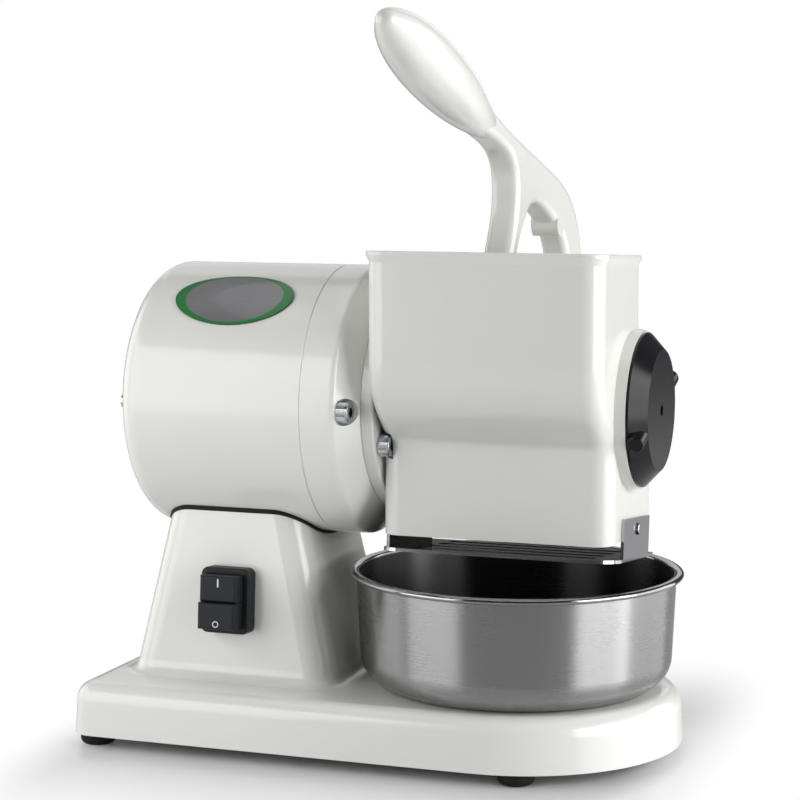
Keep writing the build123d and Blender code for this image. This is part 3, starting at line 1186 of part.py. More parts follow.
def cable_gland():
    """Gland for the mains lead in the column's back."""
    gland = extrude(RegularPolygon(GLAND_HEAD_R, 6), GLAND_HEX_H)
    gland += Pos(0, 0, GLAND_HEX_H + GLAND_DOME_H / 2) * Cylinder(GLAND_DOME_R, GLAND_DOME_H)
    tail = GLAND_SEAT + GLAND_NUT_T + GLAND_TAIL
    gland += Pos(0, 0, -tail / 2) * Cylinder(GLAND_R, tail)
    return GLAND_PLANE * (gland - Cylinder(GLAND_BORE_R, 2 * (tail + GLAND_HEX_H + GLAND_DOME_H)))


def gland_nut():
    """Nut that holds the gland from inside the column."""
    nut = extrude(Pos(0, 0, -GLAND_SEAT - GLAND_NUT_T) * RegularPolygon(GLAND_NUT_R, 6), GLAND_NUT_T)
    return GLAND_PLANE * (nut - Pos(0, 0, -GLAND_SEAT) * Cylinder(GLAND_R, 4 * GLAND_NUT_T))


NODES = {
    "base_casting": base_casting,
    "bottom_plate": bottom_plate,
    "rubber_feet": rubber_feet,
    "foot_screws": foot_screws,
    "motor_gasket": motor_gasket,
    "column_screws": column_screws,
    "motor_housing": motor_housing,
    "motor_shield": motor_shield,
    "shield_screws": shield_screws,
    "rear_screws": rear_screws,
    "rear_bearing": rear_bearing,
    "front_bearing": front_bearing,
    "stator_core": stator_core,
    "stator_windings": stator_windings,
    "motor_shaft": motor_shaft,
    "drive_pin": drive_pin,
    "rotor_core": rotor_core,
    "rotor_end_rings": rotor_end_rings,
    "oval_plate": oval_plate,
    "hopper_body": hopper_body,
    "hopper_screws": hopper_screws,
    "shaft_seal": shaft_seal,
    "outlet_guard": outlet_guard,
    "guard_screws": guard_screws,
    "grating_drum": grating_drum,
    "drum_hub": drum_hub,
    "drum_end_plate": drum_end_plate,
    "drum_bush": drum_bush,
    "cap_axle": cap_axle,
    "drum_cap": drum_cap,
    "cap_pegs": cap_pegs,
    "lever_arm": lever_arm,
    "presser": presser,
    "presser_screws": presser_screws,
    "lever_pin": lever_pin,
    "pin_rings": pin_rings,
    "bowl": bowl,
    "switch_body": switch_body,
    "on_button": lambda: switch_button(1, ON_BUTTON_PROUD),
    "off_button": lambda: switch_button(-1, OFF_BUTTON_PROUD),
    "capacitor": capacitor,
    "capacitor_clip": capacitor_clip,
    "terminal_block": terminal_block,
    "cable_gland": cable_gland,
    "gland_nut": gland_nut,
}

os.makedirs("parts", exist_ok=True)
for node, make in NODES.items():
    export_step(make(), f"parts/{node}.step")
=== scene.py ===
"""Looks of a table-top electric grater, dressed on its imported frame.

Lengths are in metres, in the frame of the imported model: X runs along the motor shaft towards the drum
cap, -Y faces the user and Z is up from the table.
"""

import logging
import math
from dataclasses import dataclass
from enum import Enum
from functools import lru_cache
from typing import Any, Optional, Union

import bmesh
import bpy
from mathutils import Matrix, Quaternion, Vector
from mathutils.bvhtree import BVHTree


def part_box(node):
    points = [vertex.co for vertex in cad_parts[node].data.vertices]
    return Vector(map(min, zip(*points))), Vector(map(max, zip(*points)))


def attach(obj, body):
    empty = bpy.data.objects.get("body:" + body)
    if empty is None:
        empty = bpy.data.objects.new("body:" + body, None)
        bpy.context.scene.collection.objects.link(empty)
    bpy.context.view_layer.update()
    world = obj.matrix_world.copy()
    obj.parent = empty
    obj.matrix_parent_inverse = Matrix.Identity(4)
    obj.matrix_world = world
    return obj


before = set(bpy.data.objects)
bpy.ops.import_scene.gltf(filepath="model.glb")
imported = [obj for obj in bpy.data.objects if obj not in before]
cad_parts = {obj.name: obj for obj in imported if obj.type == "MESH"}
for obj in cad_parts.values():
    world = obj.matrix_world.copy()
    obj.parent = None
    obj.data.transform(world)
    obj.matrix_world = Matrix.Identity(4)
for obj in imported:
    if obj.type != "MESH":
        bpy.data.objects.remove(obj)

LOG = logging.getLogger("grater")
AXIS_HEIGHT = 0.1645
MERGE_WITHIN = 1e-7
WHITE = (1.0, 1.0, 1.0, 1.0)
Number = Union["Signal", float, int]
Sockets = dict[Union[int, str], Any]
Colour = tuple[float, float, float, float]
Point = tuple[float, float, float]
Pair = tuple[float, float]
Row = list[bmesh.types.BMVert]


def shade(colour: Colour, share: float) -> Colour:
    """Colour made lighter or darker by a share."""
    return (colour[0] * share, colour[1] * share, colour[2] * share, colour[3])


def look(place: Point, aim: Point) -> Quaternion:
    """Turn of a light or a camera that looks from a place at its aim."""
    return (Vector(aim) - Vector(place)).to_track_quat("-Z", "Y")


def linked(thing: bpy.types.Object) -> bpy.types.Object:
    """Puts an object in the scene and hands it back."""
    bpy.context.scene.collection.objects.link(thing)
    return thing


def face_outwards(mesh: bpy.types.Mesh) -> None:
    """Merges a mesh's doubles and turns its faces outwards.

    Args:
        mesh: The mesh, which is changed.
    """
    work = bmesh.new()
    work.from_mesh(mesh)
    bmesh.ops.remove_doubles(work, verts=work.verts, dist=MERGE_WITHIN)
    bmesh.ops.recalc_face_normals(work, faces=work.faces)
    work.to_mesh(mesh)
    work.free()


class Signal:
    """An output socket of a node tree, on which Python's operators add Math nodes."""

    def __init__(self, nodes: "Nodes", socket: bpy.types.NodeSocket) -> None:
        """Keeps the tree and its socket."""
        self.nodes = nodes
        self.socket = socket

    def _math(self, operation: str, first: Number, second: Number = 0.0) -> "Signal":
        """Result of one Math node on two values or signals."""
        return self.nodes.node("ShaderNodeMath", {0: first, 1: second}, operation=operation).out()

    def __add__(self, other: Number) -> "Signal":
        """Sum."""
        return self._math("ADD", self, other)

    def __radd__(self, other: Number) -> "Signal":
        """Sum, with the number first."""
        return self._math("ADD", other, self)

    def __sub__(self, other: Number) -> "Signal":
        """Difference."""
        return self._math("SUBTRACT", self, other)

    def __rsub__(self, other: Number) -> "Signal":
        """Difference, with the number first."""
        return self._math("SUBTRACT", other, self)

    def __mul__(self, other: Number) -> "Signal":
        """Product."""
        return self._math("MULTIPLY", self, other)

    def __truediv__(self, other: Number) -> "Signal":
        """Quotient."""
        return self._math("DIVIDE", self, other)

    def __pow__(self, other: Number) -> "Signal":
        """Power."""
        return self._math("POWER", self, other)

    def __mod__(self, other: Number) -> "Signal":
        """Remainder."""
        return self._math("MODULO", self, other)

    def __gt__(self, other: Number) -> "Signal":
        """One where the signal is the greater, and zero elsewhere."""
        return self._math("GREATER_THAN", self, other)

    def __lt__(self, other: Number) -> "Signal":
        """One where the signal is the lesser, and zero elsewhere."""
        return self._math("LESS_THAN", self, other)

    def above(self, other: Number) -> "Signal":
        """The greater of the signal and another."""
        return self._math("MAXIMUM", self, other)

    def floor(self) -> "Signal":
        """Whole part."""
        return self._math("FLOOR", self)

    def sine(self) -> "Signal":
        """Sine of an angle in radians."""
        return self._math("SINE", self)

    def cosine(self) -> "Signal":
        """Cosine of an angle in radians."""
        return self._math("COSINE", self)

    def turn_from(self, other: Number) -> "Signal":
        """Angle of a point whose height is this signal and whose reach is the other."""
        return self._math("ARCTAN2", self, other)

    def reach(self, other: "Signal") -> "Signal":
        """Distance from the origin of a point whose two coordinates are this signal and the other."""
        return (self * self + other * other) ** 0.5

    def swing(self, spread: float) -> "Signal":
        """A pattern from 0 to 1, moved so that it swings about zero over a spread."""
        return (self - 0.5) * spread


class Made:
    """A node that was added to a tree, with its outputs as signals."""

    def __init__(self, nodes: "Nodes", node: bpy.types.Node) -> None:
        """Keeps the tree and its node."""
        self.nodes = nodes
        self.node = node

    def out(self, key: Union[int, str] = 0) -> Signal:
        """Signal of one output, by its number or name."""
        return Signal(self.nodes, self.node.outputs[key])


class Nodes:
    """A node tree that nodes are added to."""

    def __init__(self, tree: bpy.types.NodeTree) -> None:
        """Keeps the tree."""
        self.tree = tree

    def node(self, kind: str, sockets: Optional[Sockets] = None, **settings: Any) -> Made:
        """Adds one node.

        Args:
            kind: The node's type.
            sockets: The values or signals of its inputs, by number or name.
            settings: Its own settings, which are set before its inputs.

        Returns:
            The node.
        """
        node = self.tree.nodes.new(kind)
        for name, value in settings.items():
            setattr(node, name, value)
        self.feed(node, sockets or {})
        return Made(self, node)

    def feed(self, node: bpy.types.Node, sockets: Sockets) -> None:
        """Sets or links inputs of a node.

        Args:
            node: The node.
            sockets: The values or signals of its inputs, by number or name.
        """
        for key, value in sockets.items():
            if isinstance(value, Signal):
                self.tree.links.new(value.socket, node.inputs[key])
            else:
                node.inputs[key].default_value = value

    def join(self, x: Number, y: Number, z: Number) -> Signal:
        """Vector of three values."""
        return self.node("ShaderNodeCombineXYZ", {0: x, 1: y, 2: z}).out()

    def seen(self) -> Signal:
        """One where the camera looks straight on, and zero where light is thrown or mirrored."""
        return self.node("ShaderNodeLightPath").out("Is Camera Ray")


class ShaderTree(Nodes):
    """The node tree of one material, ending in one Principled shader."""

    def __init__(self, name: str) -> None:
        """Makes the material and its shader.

        Args:
            name: The material's name.
        """
        self.material = bpy.data.materials.new(name)
        self.material.use_nodes = True
        super().__init__(self.material.node_tree)
        self.tree.nodes.clear()
        self.shader = self.node("ShaderNodeBsdfPrincipled")
        self.output = self.node("ShaderNodeOutputMaterial", {"Surface": self.shader.out("BSDF")})

    def surface(self, sockets: Sockets) -> bpy.types.Material:
        """Sets the shader's inputs by name and hands back the material."""
        self.feed(self.shader.node, sockets)
        return self.material

    def place(self) -> Signal:
        """Object coordinates."""
        return self.node("ShaderNodeTexCoord").out("Object")

    def split(self, vector: Signal) -> tuple[Signal, Signal, Signal]:
        """X, Y and Z of a vector."""
        parts = self.node("ShaderNodeSeparateXYZ", {0: vector})
        return parts.out(0), parts.out(1), parts.out(2)

    def noise(self, vector: Signal, scale: float, detail: float = 2.0, roughness: float = 0.5) -> Signal:
        """Noise from 0 to 1.

        Args:
            vector: Where the noise is read.
            scale: How many cells it has in a unit of the vector.
            detail: How many finer layers it has.
            roughness: How strong the finer layers are.

        Returns:
            The noise.
        """
        sockets = {"Vector": vector, "Scale": scale, "Detail": detail, "Roughness": roughness}
        return self.node("ShaderNodeTexNoise", sockets).out()

    def blend(self, factor: Number, first: Any, second: Any) -> Signal:
        """Mixture of two colours or their signals; the factor is the second one's share."""
        return self.node("ShaderNodeMix", {0: factor, 6: first, 7: second}, data_type="RGBA").out(2)

    def shades(self, pattern: Signal, colour: Colour, tones: Pair) -> Signal:
        """Colour that goes from one of its tones to the other where a pattern goes from 0 to 1."""
        return self.blend(pattern, shade(colour, tones[0]), shade(colour, tones[1]))

    def bump(self, height: Signal, strength: float, distance: float) -> Signal:
        """Normal of a surface that a pattern from 0 to 1 lifts over a distance in metres."""
        sockets = {"Strength": strength, "Distance": distance, "Height": height}
        return self.node("ShaderNodeBump", sockets).out()


class GeometryTree(Nodes):
    """A geometry tree with named inputs, which ends in realised instances with one material."""

    def __init__(self, name: str) -> None:
        """Makes the tree.

        Args:
            name: The tree's name.
        """
        super().__init__(bpy.data.node_groups.new(name, "GeometryNodeTree"))
        for side in ("INPUT", "OUTPUT"):
            self.tree.interface.new_socket("Geometry", in_out=side, socket_type="NodeSocketGeometry")
        self.entry = self.node("NodeGroupInput")

    def value(self, name: str, kind: str = "NodeSocketFloat") -> Signal:
        """Adds a named input of a kind of socket and hands back its signal."""
        self.tree.interface.new_socket(name, in_out="INPUT", socket_type=kind)
        return self.entry.out(name)

    def index(self) -> Signal:
        """Number of each point or corner, from 0 up."""
        return self.node("GeometryNodeInputIndex").out()

    def circle(self, corners: Number, radius: Number) -> Signal:
        """Closed round curve with a number of corners."""
        sockets = {"Resolution": corners, "Radius": radius}
        return self.node("GeometryNodeCurvePrimitiveCircle", sockets).out()

    def copies(self, thing: Signal, points: Signal, rotation: Any = (0.0, 0.0, 0.0)) -> Signal:
        """Copies of a thing on each point, turned by a rotation."""
        sockets = {"Points": points, "Instance": thing, "Rotation": rotation}
        return self.node("GeometryNodeInstanceOnPoints", sockets).out()

    def close(self, instances: Signal) -> None:
        """Ends the tree.

        Args:
            instances: What the tree has made so far.
        """
        finish = self.value("Finish", "NodeSocketMaterial")
        real = self.node("GeometryNodeRealizeInstances", {0: instances}).out()
        dressed = self.node("GeometryNodeSetMaterial", {"Geometry": real, "Material": finish}).out()
        self.node("NodeGroupOutput", {0: dressed})

    def run(self, name: str, points: list[Point], values: dict[str, Any]) -> bpy.types.Object:
        """Runs the tree on points and keeps what it makes as a plain mesh.

        Args:
            name: The piece's name.
            points: The points that the tree starts from.
            values: The inputs by name.

        Returns:
            The piece.
        """
        start = bpy.data.meshes.new(name + "_points")
        start.from_pydata(points, [], [])
        carrier = linked(bpy.data.objects.new(name + "_carrier", start))
        modifier = carrier.modifiers.new("tree", "NODES")
        modifier.node_group = self.tree
        for item in self.tree.interface.items_tree:
            if item.in_out == "INPUT" and item.name in values:
                modifier[item.identifier] = values[item.name]
        graph = bpy.context.evaluated_depsgraph_get()
        plain = bpy.data.meshes.new_from_object(carrier.evaluated_get(graph), depsgraph=graph)
        carrier.modifiers.remove(modifier)
        bpy.data.objects.remove(carrier)
        plain.name = name
        face_outwards(plain)
        return linked(bpy.data.objects.new(name, plain))


class Grain(Enum):
    """The way in which a metal's brushing or turning runs."""

    ALONG_SHAFT = "along the shaft"
    ROUND_SHAFT = "round the shaft"
    ROUND_BOWL = "round the bowl"


@dataclass(frozen=True)
class Finish:
    """A kind of surface, whose colour and roughness are a little uneven.

    Attributes:
        name: The material's name.
        colour: The colour.
        roughness: The roughness, from 0 to 1.
        tones: Shares of the colour where its pattern is 0 and where it is 1.
        relief: Strength of its bumps, and their depth in metres.
        cloud_scale: How many cells the slow unevenness has in a metre.
        cloud_detail: How many finer layers it has.
        cloud_spread: How far it moves the roughness.
    """

    name: str
    colour: Colour
    roughness: float
    tones: Pair
    relief: Pair
    cloud_scale: float
    cloud_detail: float = 2.0
    cloud_spread: float = 0.0

    def cloud(self, tree: ShaderTree) -> Signal:
        """Slow unevenness of the surface, from 0 to 1."""
        return tree.noise(tree.place(), self.cloud_scale, self.cloud_detail)

    def tone(self, tree: ShaderTree, pattern: Signal) -> Signal:
        """Colour of the surface.

        Args:
            tree: The material's tree.
            pattern: The pattern that the colour follows, from 0 to 1.

        Returns:
            The colour.
        """
        return tree.shades(pattern, self.colour, self.tones)

    def material(self) -> bpy.types.Material:
        """Builds the finish as a material; each kind of finish has its own way."""
        raise NotImplementedError


@dataclass(frozen=True)
class Enamel(Finish):
    """Glossy baked enamel on a casting, with a faint orange peel and a little unevenness."""

    tones: Pair = (0.97, 1.02)
    relief: Pair = (0.1, 0.00004)
    cloud_scale: float = 16.0
    cloud_detail: float = 3.0
    cloud_spread: float = 0.08
    wave_scale: float = 130.0
    wave_share: float = 0.75
    peel_scale: float = 750.0
    peel_spread: float = 0.04
    coat: float = 0.35
    coat_roughness: float = 0.06

    def material(self) -> bpy.types.Material:
        """Builds the enamel.

        Returns:
            The material.
        """
        tree = ShaderTree(self.name)
        cloud = self.cloud(tree)
        wave = tree.noise(tree.place(), self.wave_scale, detail=1.0)
        peel = tree.noise(tree.place(), self.peel_scale)
        height = wave * self.wave_share + peel * (1.0 - self.wave_share)
        return tree.surface({
            "Base Color": self.tone(tree, cloud),
            "Roughness": self.roughness + cloud.swing(self.cloud_spread) + peel.swing(self.peel_spread),
            "Normal": tree.bump(height, *self.relief),
            "Coat Weight": self.coat,
            "Coat Roughness": self.coat_roughness,
        })


@dataclass(frozen=True)
class ChuteEnamel(Enamel):
    """Enamel of the hopper, with painted shade: the walls inside the chute are made nearly black."""

    # Painted shade: the nearly black colour of the walls inside the chute.
    chute_shade: Colour = (0.07, 0.07, 0.072, 1.0)
    chute_shade_tones: Pair = (0.7, 1.3)
    left: float = 0.0138
    right: float = 0.1104
    front_high: float = -0.0617
    front_low: float = -0.0393
    front_slope: Pair = (0.194, 0.2)
    back_high: float = 0.0122
    back_low: float = 0.0393
    back_slope: Pair = (0.176, 0.2)
    rim_height: float = 0.2362
    rim_rise: float = -0.0454

    def tone(self, tree: ShaderTree, pattern: Signal) -> Signal:
        """Colour of the enamel, with painted shade, nearly black, on the walls inside the chute.

        Args:
            tree: The material's tree.
            pattern: The slow unevenness of the coat.

        Returns:
            The colour.
        """
        x, y, z = tree.split(tree.place())
        front = self.step(tree, z, self.front_slope, self.front_low, self.front_high)
        back = self.step(tree, z, self.back_slope, self.back_low, self.back_high)
        across = (x > self.left) * (x < self.right)
        deep = (y > front) * (y < back) * (z < y * self.rim_rise + self.rim_height)
        # Painted shade inside the chute, between the inner walls and below the rim.
        painted_shade_colour = tree.shades(pattern, self.chute_shade, self.chute_shade_tones)
        return tree.blend(across * deep, super().tone(tree, pattern), painted_shade_colour)

    @staticmethod
    def step(tree: ShaderTree, z: Signal, span: Pair, low: float, high: float) -> Signal:
        """Place of a wall's middle, which moves over between two heights.

        Args:
            tree: The material's tree.
            z: The height.
            span: The heights between which the wall slopes.
            low: The wall's place below them.
            high: The wall's place above them.

        Returns:
            The wall's place at the height.
        """
        sockets = {"Value": z, "From Min": span[0], "From Max": span[1], "To Min": low, "To Max": high}
        return tree.node("ShaderNodeMapRange", sockets).out()


@dataclass(frozen=True)
class BrushedMetal(Finish):
    """Metal with fine lines from brushing, grinding or turning."""

    tones: Pair = (0.86, 1.08)
    relief: Pair = (0.25, 0.00002)
    # Tones of the painted shade along the lines.
    shade_tones: Pair = (0.8, 1.0)
    cloud_scale: float = 40.0
    cloud_spread: float = 0.06
    grain: Grain = Grain.ALONG_SHAFT
    centre: Point = (0.0, 0.0, AXIS_HEIGHT)
    fine: float = 2600.0
    long: float = 35.0
    line_spread: float = 0.16
    spread_across: float = 0.0
    spread_turn: float = 0.25
    polished_above: float = 10.0
    polish: float = 0.55

    def lines(self, tree: ShaderTree) -> Signal:
        """Lines of the brushing.

        Args:
            tree: The material's tree.

        Returns:
            The lines, from 0 to 1.
        """
        place = tree.split(tree.place())
        x, y, z = (side - middle for side, middle in zip(place, self.centre))
        if self.grain is Grain.ALONG_SHAFT:
            way = tree.join(x * self.long, y * self.fine, z * self.fine)
        elif self.grain is Grain.ROUND_SHAFT:
            way = tree.join(y.reach(z) * self.fine, x * self.fine, (y + z) * self.long)
        else:
            way = tree.join(x.reach(y) * self.fine, z * self.fine, (x + y) * self.long)
        return tree.noise(way, scale=1.0, detail=3.0, roughness=0.6)

    def shaded_tone(self, tree: ShaderTree, lines: Signal, share: float) -> Signal:
        """Painted shade: colour along the lines with only a share of the metal's colour."""
        return tree.shades(lines, shade(self.colour, share), self.shade_tones)

    def material(self) -> bpy.types.Material:
        """Builds the metal.

        Returns:
            The material.
        """
        tree = ShaderTree(self.name)
        lines = self.lines(tree)
        height = tree.split(tree.place())[2]
        matt = 1 - (height > self.polished_above) * self.polish
        rough = self.roughness + lines.swing(self.line_spread) + self.cloud(tree).swing(self.cloud_spread)
        return tree.surface({
            "Base Color": self.tone(tree, lines),
            "Roughness": rough * matt,
            "Metallic": 1.0,
            "Anisotropic": self.spread_across,
            "Anisotropic Rotation": self.spread_turn,
            "Normal": tree.bump(lines, *self.relief),
        })


@dataclass(frozen=True)
class BowlSteel(BrushedMetal):
    """Steel of the bowl, with painted shade darkening its inside."""

    # Share of the steel's colour left on the inside, as painted shade.
    inside_shade_share: float = 0.3
    corner_radius: float = 0.0134
    corner_height: float = 0.0451
    wall_low: float = 0.0733
    wall_spread: float = 0.0447
    floor_height: float = 0.0317
    rim_height: float = 0.0843

    def tone(self, tree: ShaderTree, pattern: Signal) -> Signal:
        """Colour of the steel, with painted shade on the inner side of the wall, corner and floor.

        Args:
            tree: The material's tree.
            pattern: The lines of the polishing.

        Returns:
            The colour.
        """
        x, y, z = tree.split(tree.place())
        wall = self.wall_low + (z - self.floor_height) * self.wall_spread
        out = ((x - self.centre[0]).reach(y) - wall + self.corner_radius).above(0.0)
        down = (self.corner_height - z).above(0.0)
        inside = (out.reach(down) < self.corner_radius) * (z < self.rim_height)
        # Painted shade: the inner side of the bowl keeps only a share of the steel's colour.
        painted_shade_colour = self.shaded_tone(tree, pattern, self.inside_shade_share)
        return tree.blend(inside, super().tone(tree, pattern), painted_shade_colour)


@dataclass(frozen=True)
class GuardSteel(BrushedMetal):
    """Sheet steel of the guard, with painted shade under the hopper except on its front cut edges and its
    outer tab.
    """

    tab_from: float = 0.1163
    guard_shade_share: float = 0.07
    edge_facing: float = -0.5

    def tone(self, tree: ShaderTree, pattern: Signal) -> Signal:
        """Colour of the sheet, with painted shade under the hopper where it does not face the front.

        Args:
            tree: The material's tree.
            pattern: The lines of the polishing.

        Returns:
            The colour.
        """
        x = tree.split(tree.place())[0]
        facing = tree.split(tree.node("ShaderNodeNewGeometry").out("True Normal"))[1]
        # Painted shade: nearly black under the hopper, except on faces that face the front.
        shaded_under_hopper = (x < self.tab_from) * (facing > self.edge_facing)
        guard_shade_colour = self.shaded_tone(tree, pattern, self.guard_shade_share)
        return tree.blend(shaded_under_hopper, super().tone(tree, pattern), guard_shade_colour)


@dataclass(frozen=True)
class CastMetal(Finish):
    """Plated or cast metal with a fine grained skin."""

    tones: Pair = (0.82, 1.1)
    relief: Pair = (0.2, 0.00005)
    cloud_scale: float = 120.0
    cloud_spread: float = 0.1
    grain_scale: float = 900.0
    grain_spread: float = 0.12

    def material(self) -> bpy.types.Material:
        """Builds the metal.

        Returns:
            The material.
        """
        tree = ShaderTree(self.name)
        cloud = self.cloud(tree)
        grain = tree.noise(tree.place(), self.grain_scale, detail=3.0)
        return tree.surface({
            "Base Color": self.tone(tree, cloud),
            "Roughness": self.roughness + grain.swing(self.grain_spread) + cloud.swing(self.cloud_spread),
            "Metallic": 1.0,
            "Normal": tree.bump(grain, *self.relief),
        })


@dataclass(frozen=True)
class Moulding(Finish):
    """Moulded plastic or rubber with the fine texture of its tool."""

    tones: Pair = (0.85, 1.2)
    relief: Pair = (0.25, 0.00005)
    cloud_scale: float = 55.0
    cloud_detail: float = 3.0
    cloud_spread: float = 0.1
    texture_scale: float = 900.0
    texture_spread: float = 0.08
    gloss: float = 0.5

    def material(self) -> bpy.types.Material:
        """Builds the plastic or rubber.

        Returns:
            The material.
        """
        tree = ShaderTree(self.name)
        cloud = self.cloud(tree)
        texture = tree.noise(tree.place(), self.texture_scale, roughness=0.6)
        rough = self.roughness + cloud.swing(self.cloud_spread) + texture.swing(self.texture_spread)
        return tree.surface({
            "Base Color": self.tone(tree, cloud),
            "Roughness": rough,
            "Specular IOR Level": self.gloss,
            "Normal": tree.bump(texture, *self.relief),
        })


@dataclass(frozen=True)
class TurnedPlastic(Finish):
    """Glossy black plastic that was turned on a lathe, with faint rings round the shaft."""

    tones: Pair = (0.8, 1.25)
    relief: Pair = (0.08, 0.00003)
    cloud_scale: float = 60.0
    cloud_detail: float = 3.0
    cloud_spread: float = 0.08
    ring_scale: float = 2400.0
    ring_spread: float = 0.1
    gloss: float = 0.22

    def material(self) -> bpy.types.Material:
        """Builds the plastic.

        Returns:
            The material.
        """
        tree = ShaderTree(self.name)
        x, y, z = tree.split(tree.place())
        reach = y.reach(z - AXIS_HEIGHT)
        way = tree.join(reach * self.ring_scale, x * self.ring_scale, 0.0)
        rings = tree.noise(way, scale=1.0)
        cloud = self.cloud(tree)
        return tree.surface({
            "Base Color": self.tone(tree, cloud),
            "Roughness": self.roughness + rings.swing(self.ring_spread) + cloud.swing(self.cloud_spread),
            "Specular IOR Level": self.gloss,
            "Normal": tree.bump(rings, *self.relief),
        })


@dataclass(frozen=True)
class Banded(Finish):
    """Stacked sheets or laid wire: fine bands along the shaft or aslant."""

    tones: Pair = (0.6, 1.15)
    relief: Pair = (0.4, 0.0002)
    cloud_scale: float = 90.0
    cloud_spread: float = 0.15
    direction: str = "X"
    bands: float = 280.0
    band_waviness: float = 0.6
    band_detail: float = 1.0
    metallic: float = 0.8

    def material(self) -> bpy.types.Material:
        """Builds the bands.

        Returns:
            The material.
        """
        tree = ShaderTree(self.name)
        sockets = {
            "Vector": tree.place(),
            "Scale": self.bands,
            "Distortion": self.band_waviness,
            "Detail": self.band_detail,
        }
        wave = tree.node("ShaderNodeTexWave", sockets, wave_type="BANDS", bands_direction=self.direction)
        bands = wave.out("Fac")
        cloud = self.cloud(tree)
        return tree.surface({
            "Base Color": self.tone(tree, bands * cloud),
            "Roughness": self.roughness + cloud.swing(self.cloud_spread),
            "Metallic": self.metallic,
            "Normal": tree.bump(bands, *self.relief),
        })


@dataclass(frozen=True)
class OvalBadge(Finish):
    """Blank oval badge: a green rim round a brushed grey field."""

    tones: Pair = (0.72, 1.3)
    relief: Pair = (0.1, 0.00002)
    cloud_scale: float = 70.0
    centre_x: float = -0.0677
    half_length: float = 0.03
    half_height: float = 0.0165
    radius: float = 0.0654
    angle: float = math.radians(50.5)
    field_length: float = 0.825
    field_height: float = 0.93
    field_metallic: float = 0.6
    rim: Colour = (0.012, 0.19, 0.035, 1.0)
    rim_tones: Pair = (0.75, 1.25)
    edge_from: float = 0.985
    edge_share: float = 0.45
    fine: float = 3000.0
    long: float = 40.0
    line_share: float = 0.6
    line_spread: float = 0.15
    coat: float = 0.5

    def material(self) -> bpy.types.Material:
        """Builds the badge.

        Returns:
            The material.
        """
        tree = ShaderTree(self.name)
        x, y, z = tree.split(tree.place())
        along = (x - self.centre_x) / self.half_length
        turn = (z - AXIS_HEIGHT).turn_from(0 - y) - self.angle
        across = turn.sine() * self.radius / self.half_height
        on_rim = (along / self.field_length).reach(across / self.field_height) > 1.0
        on_edge = along.reach(across) > self.edge_from
        way = tree.join(x * self.long, y * self.fine, z * self.fine)
        lines = tree.noise(way, scale=1.0, detail=3.0, roughness=0.6)
        cloud = self.cloud(tree)
        field = self.tone(tree, lines * self.line_share + cloud * (1.0 - self.line_share))
        colour = tree.blend(on_rim, field, tree.shades(cloud, self.rim, self.rim_tones))
        return tree.surface({
            "Base Color": tree.blend(on_edge, colour, shade(self.rim, self.edge_share)),
            "Roughness": self.roughness + lines.swing(self.line_spread),
            "Metallic": (1 - on_rim) * self.field_metallic,
            "Normal": tree.bump(lines, *self.relief),
            "Coat Weight": self.coat,
        })


class Finishes(Enum):
    """The finishes of the grater."""

    ENAMEL = Enamel("white_enamel", (0.80, 0.80, 0.765, 1.0), 0.2)
    # Painted shade: a darker copy of the white enamel, for the shade on the hopper's front.
    CHUTE = ChuteEnamel("shaded_chute_enamel", (0.74, 0.74, 0.708, 1.0), 0.2)
    # Painted shade: a darker copy of the white enamel, for the shade on the lever's grip.
    LEVER = Enamel("shaded_lever_enamel", (0.75, 0.75, 0.717, 1.0), 0.2)
    BOWL = BowlSteel(
        "bowl_steel", (0.315, 0.315, 0.318, 1.0), 0.28, tones=(0.97, 1.03), relief=(0.25, 0.000001),
        grain=Grain.ROUND_BOWL, centre=(0.06015, 0.0, 0.0), line_spread=0.04, spread_across=0.85,
        polished_above=0.0845,
    )
    GUARD = GuardSteel("guard_steel", (0.5, 0.5, 0.514, 1.0), 0.14, line_spread=0.08)
    DRUM = BrushedMetal("drum_steel", (0.58, 0.58, 0.58, 1.0), 0.3, grain=Grain.ROUND_SHAFT)
    GROUND = BrushedMetal("ground_steel", (0.55, 0.55, 0.56, 1.0), 0.24, grain=Grain.ROUND_SHAFT)
    ZINC = CastMetal("zinc_plate", (0.44, 0.47, 0.48, 1.0), 0.2)
    CAST = CastMetal(
        "cast_aluminium", (0.7, 0.7, 0.71, 1.0), 0.42, relief=(0.2, 0.0001), grain_scale=500.0
    )
    BRONZE = CastMetal("bush_bronze", (0.55, 0.4, 0.22, 1.0), 0.35)
    SHEET = CastMetal("plated_sheet", (0.55, 0.56, 0.57, 1.0), 0.38, grain_scale=300.0)
    RUBBER = Moulding("black_rubber", (0.006, 0.006, 0.006, 1.0), 0.62, texture_scale=1300.0, gloss=0.25)
    SWITCH = Moulding("switch_plastic", (0.012, 0.0135, 0.016, 1.0), 0.5, texture_scale=2600.0, gloss=0.3)
    GLAND = Moulding("gland_plastic", (0.018, 0.018, 0.02, 1.0), 0.45, texture_scale=1800.0)
    CAP = TurnedPlastic("cap_plastic", (0.008, 0.008, 0.0095, 1.0), 0.2)
    PRESSER = Moulding("presser_plastic", (0.78, 0.78, 0.75, 1.0), 0.38, texture_scale=600.0)
    CASE = Moulding("case_plastic", (0.4, 0.41, 0.42, 1.0), 0.45)
    MARK = Moulding("mark_print", (0.75, 0.76, 0.76, 1.0), 0.5)
    LAMINATIONS = Banded("laminations", (0.16, 0.16, 0.17, 1.0), 0.5)
    WINDINGS = Banded(
        "copper_turns", (0.58, 0.26, 0.12, 1.0), 0.35, direction="DIAGONAL", bands=190.0, metallic=0.9
    )
    BADGE = OvalBadge("oval_badge", (0.27, 0.265, 0.275, 1.0), 0.33)


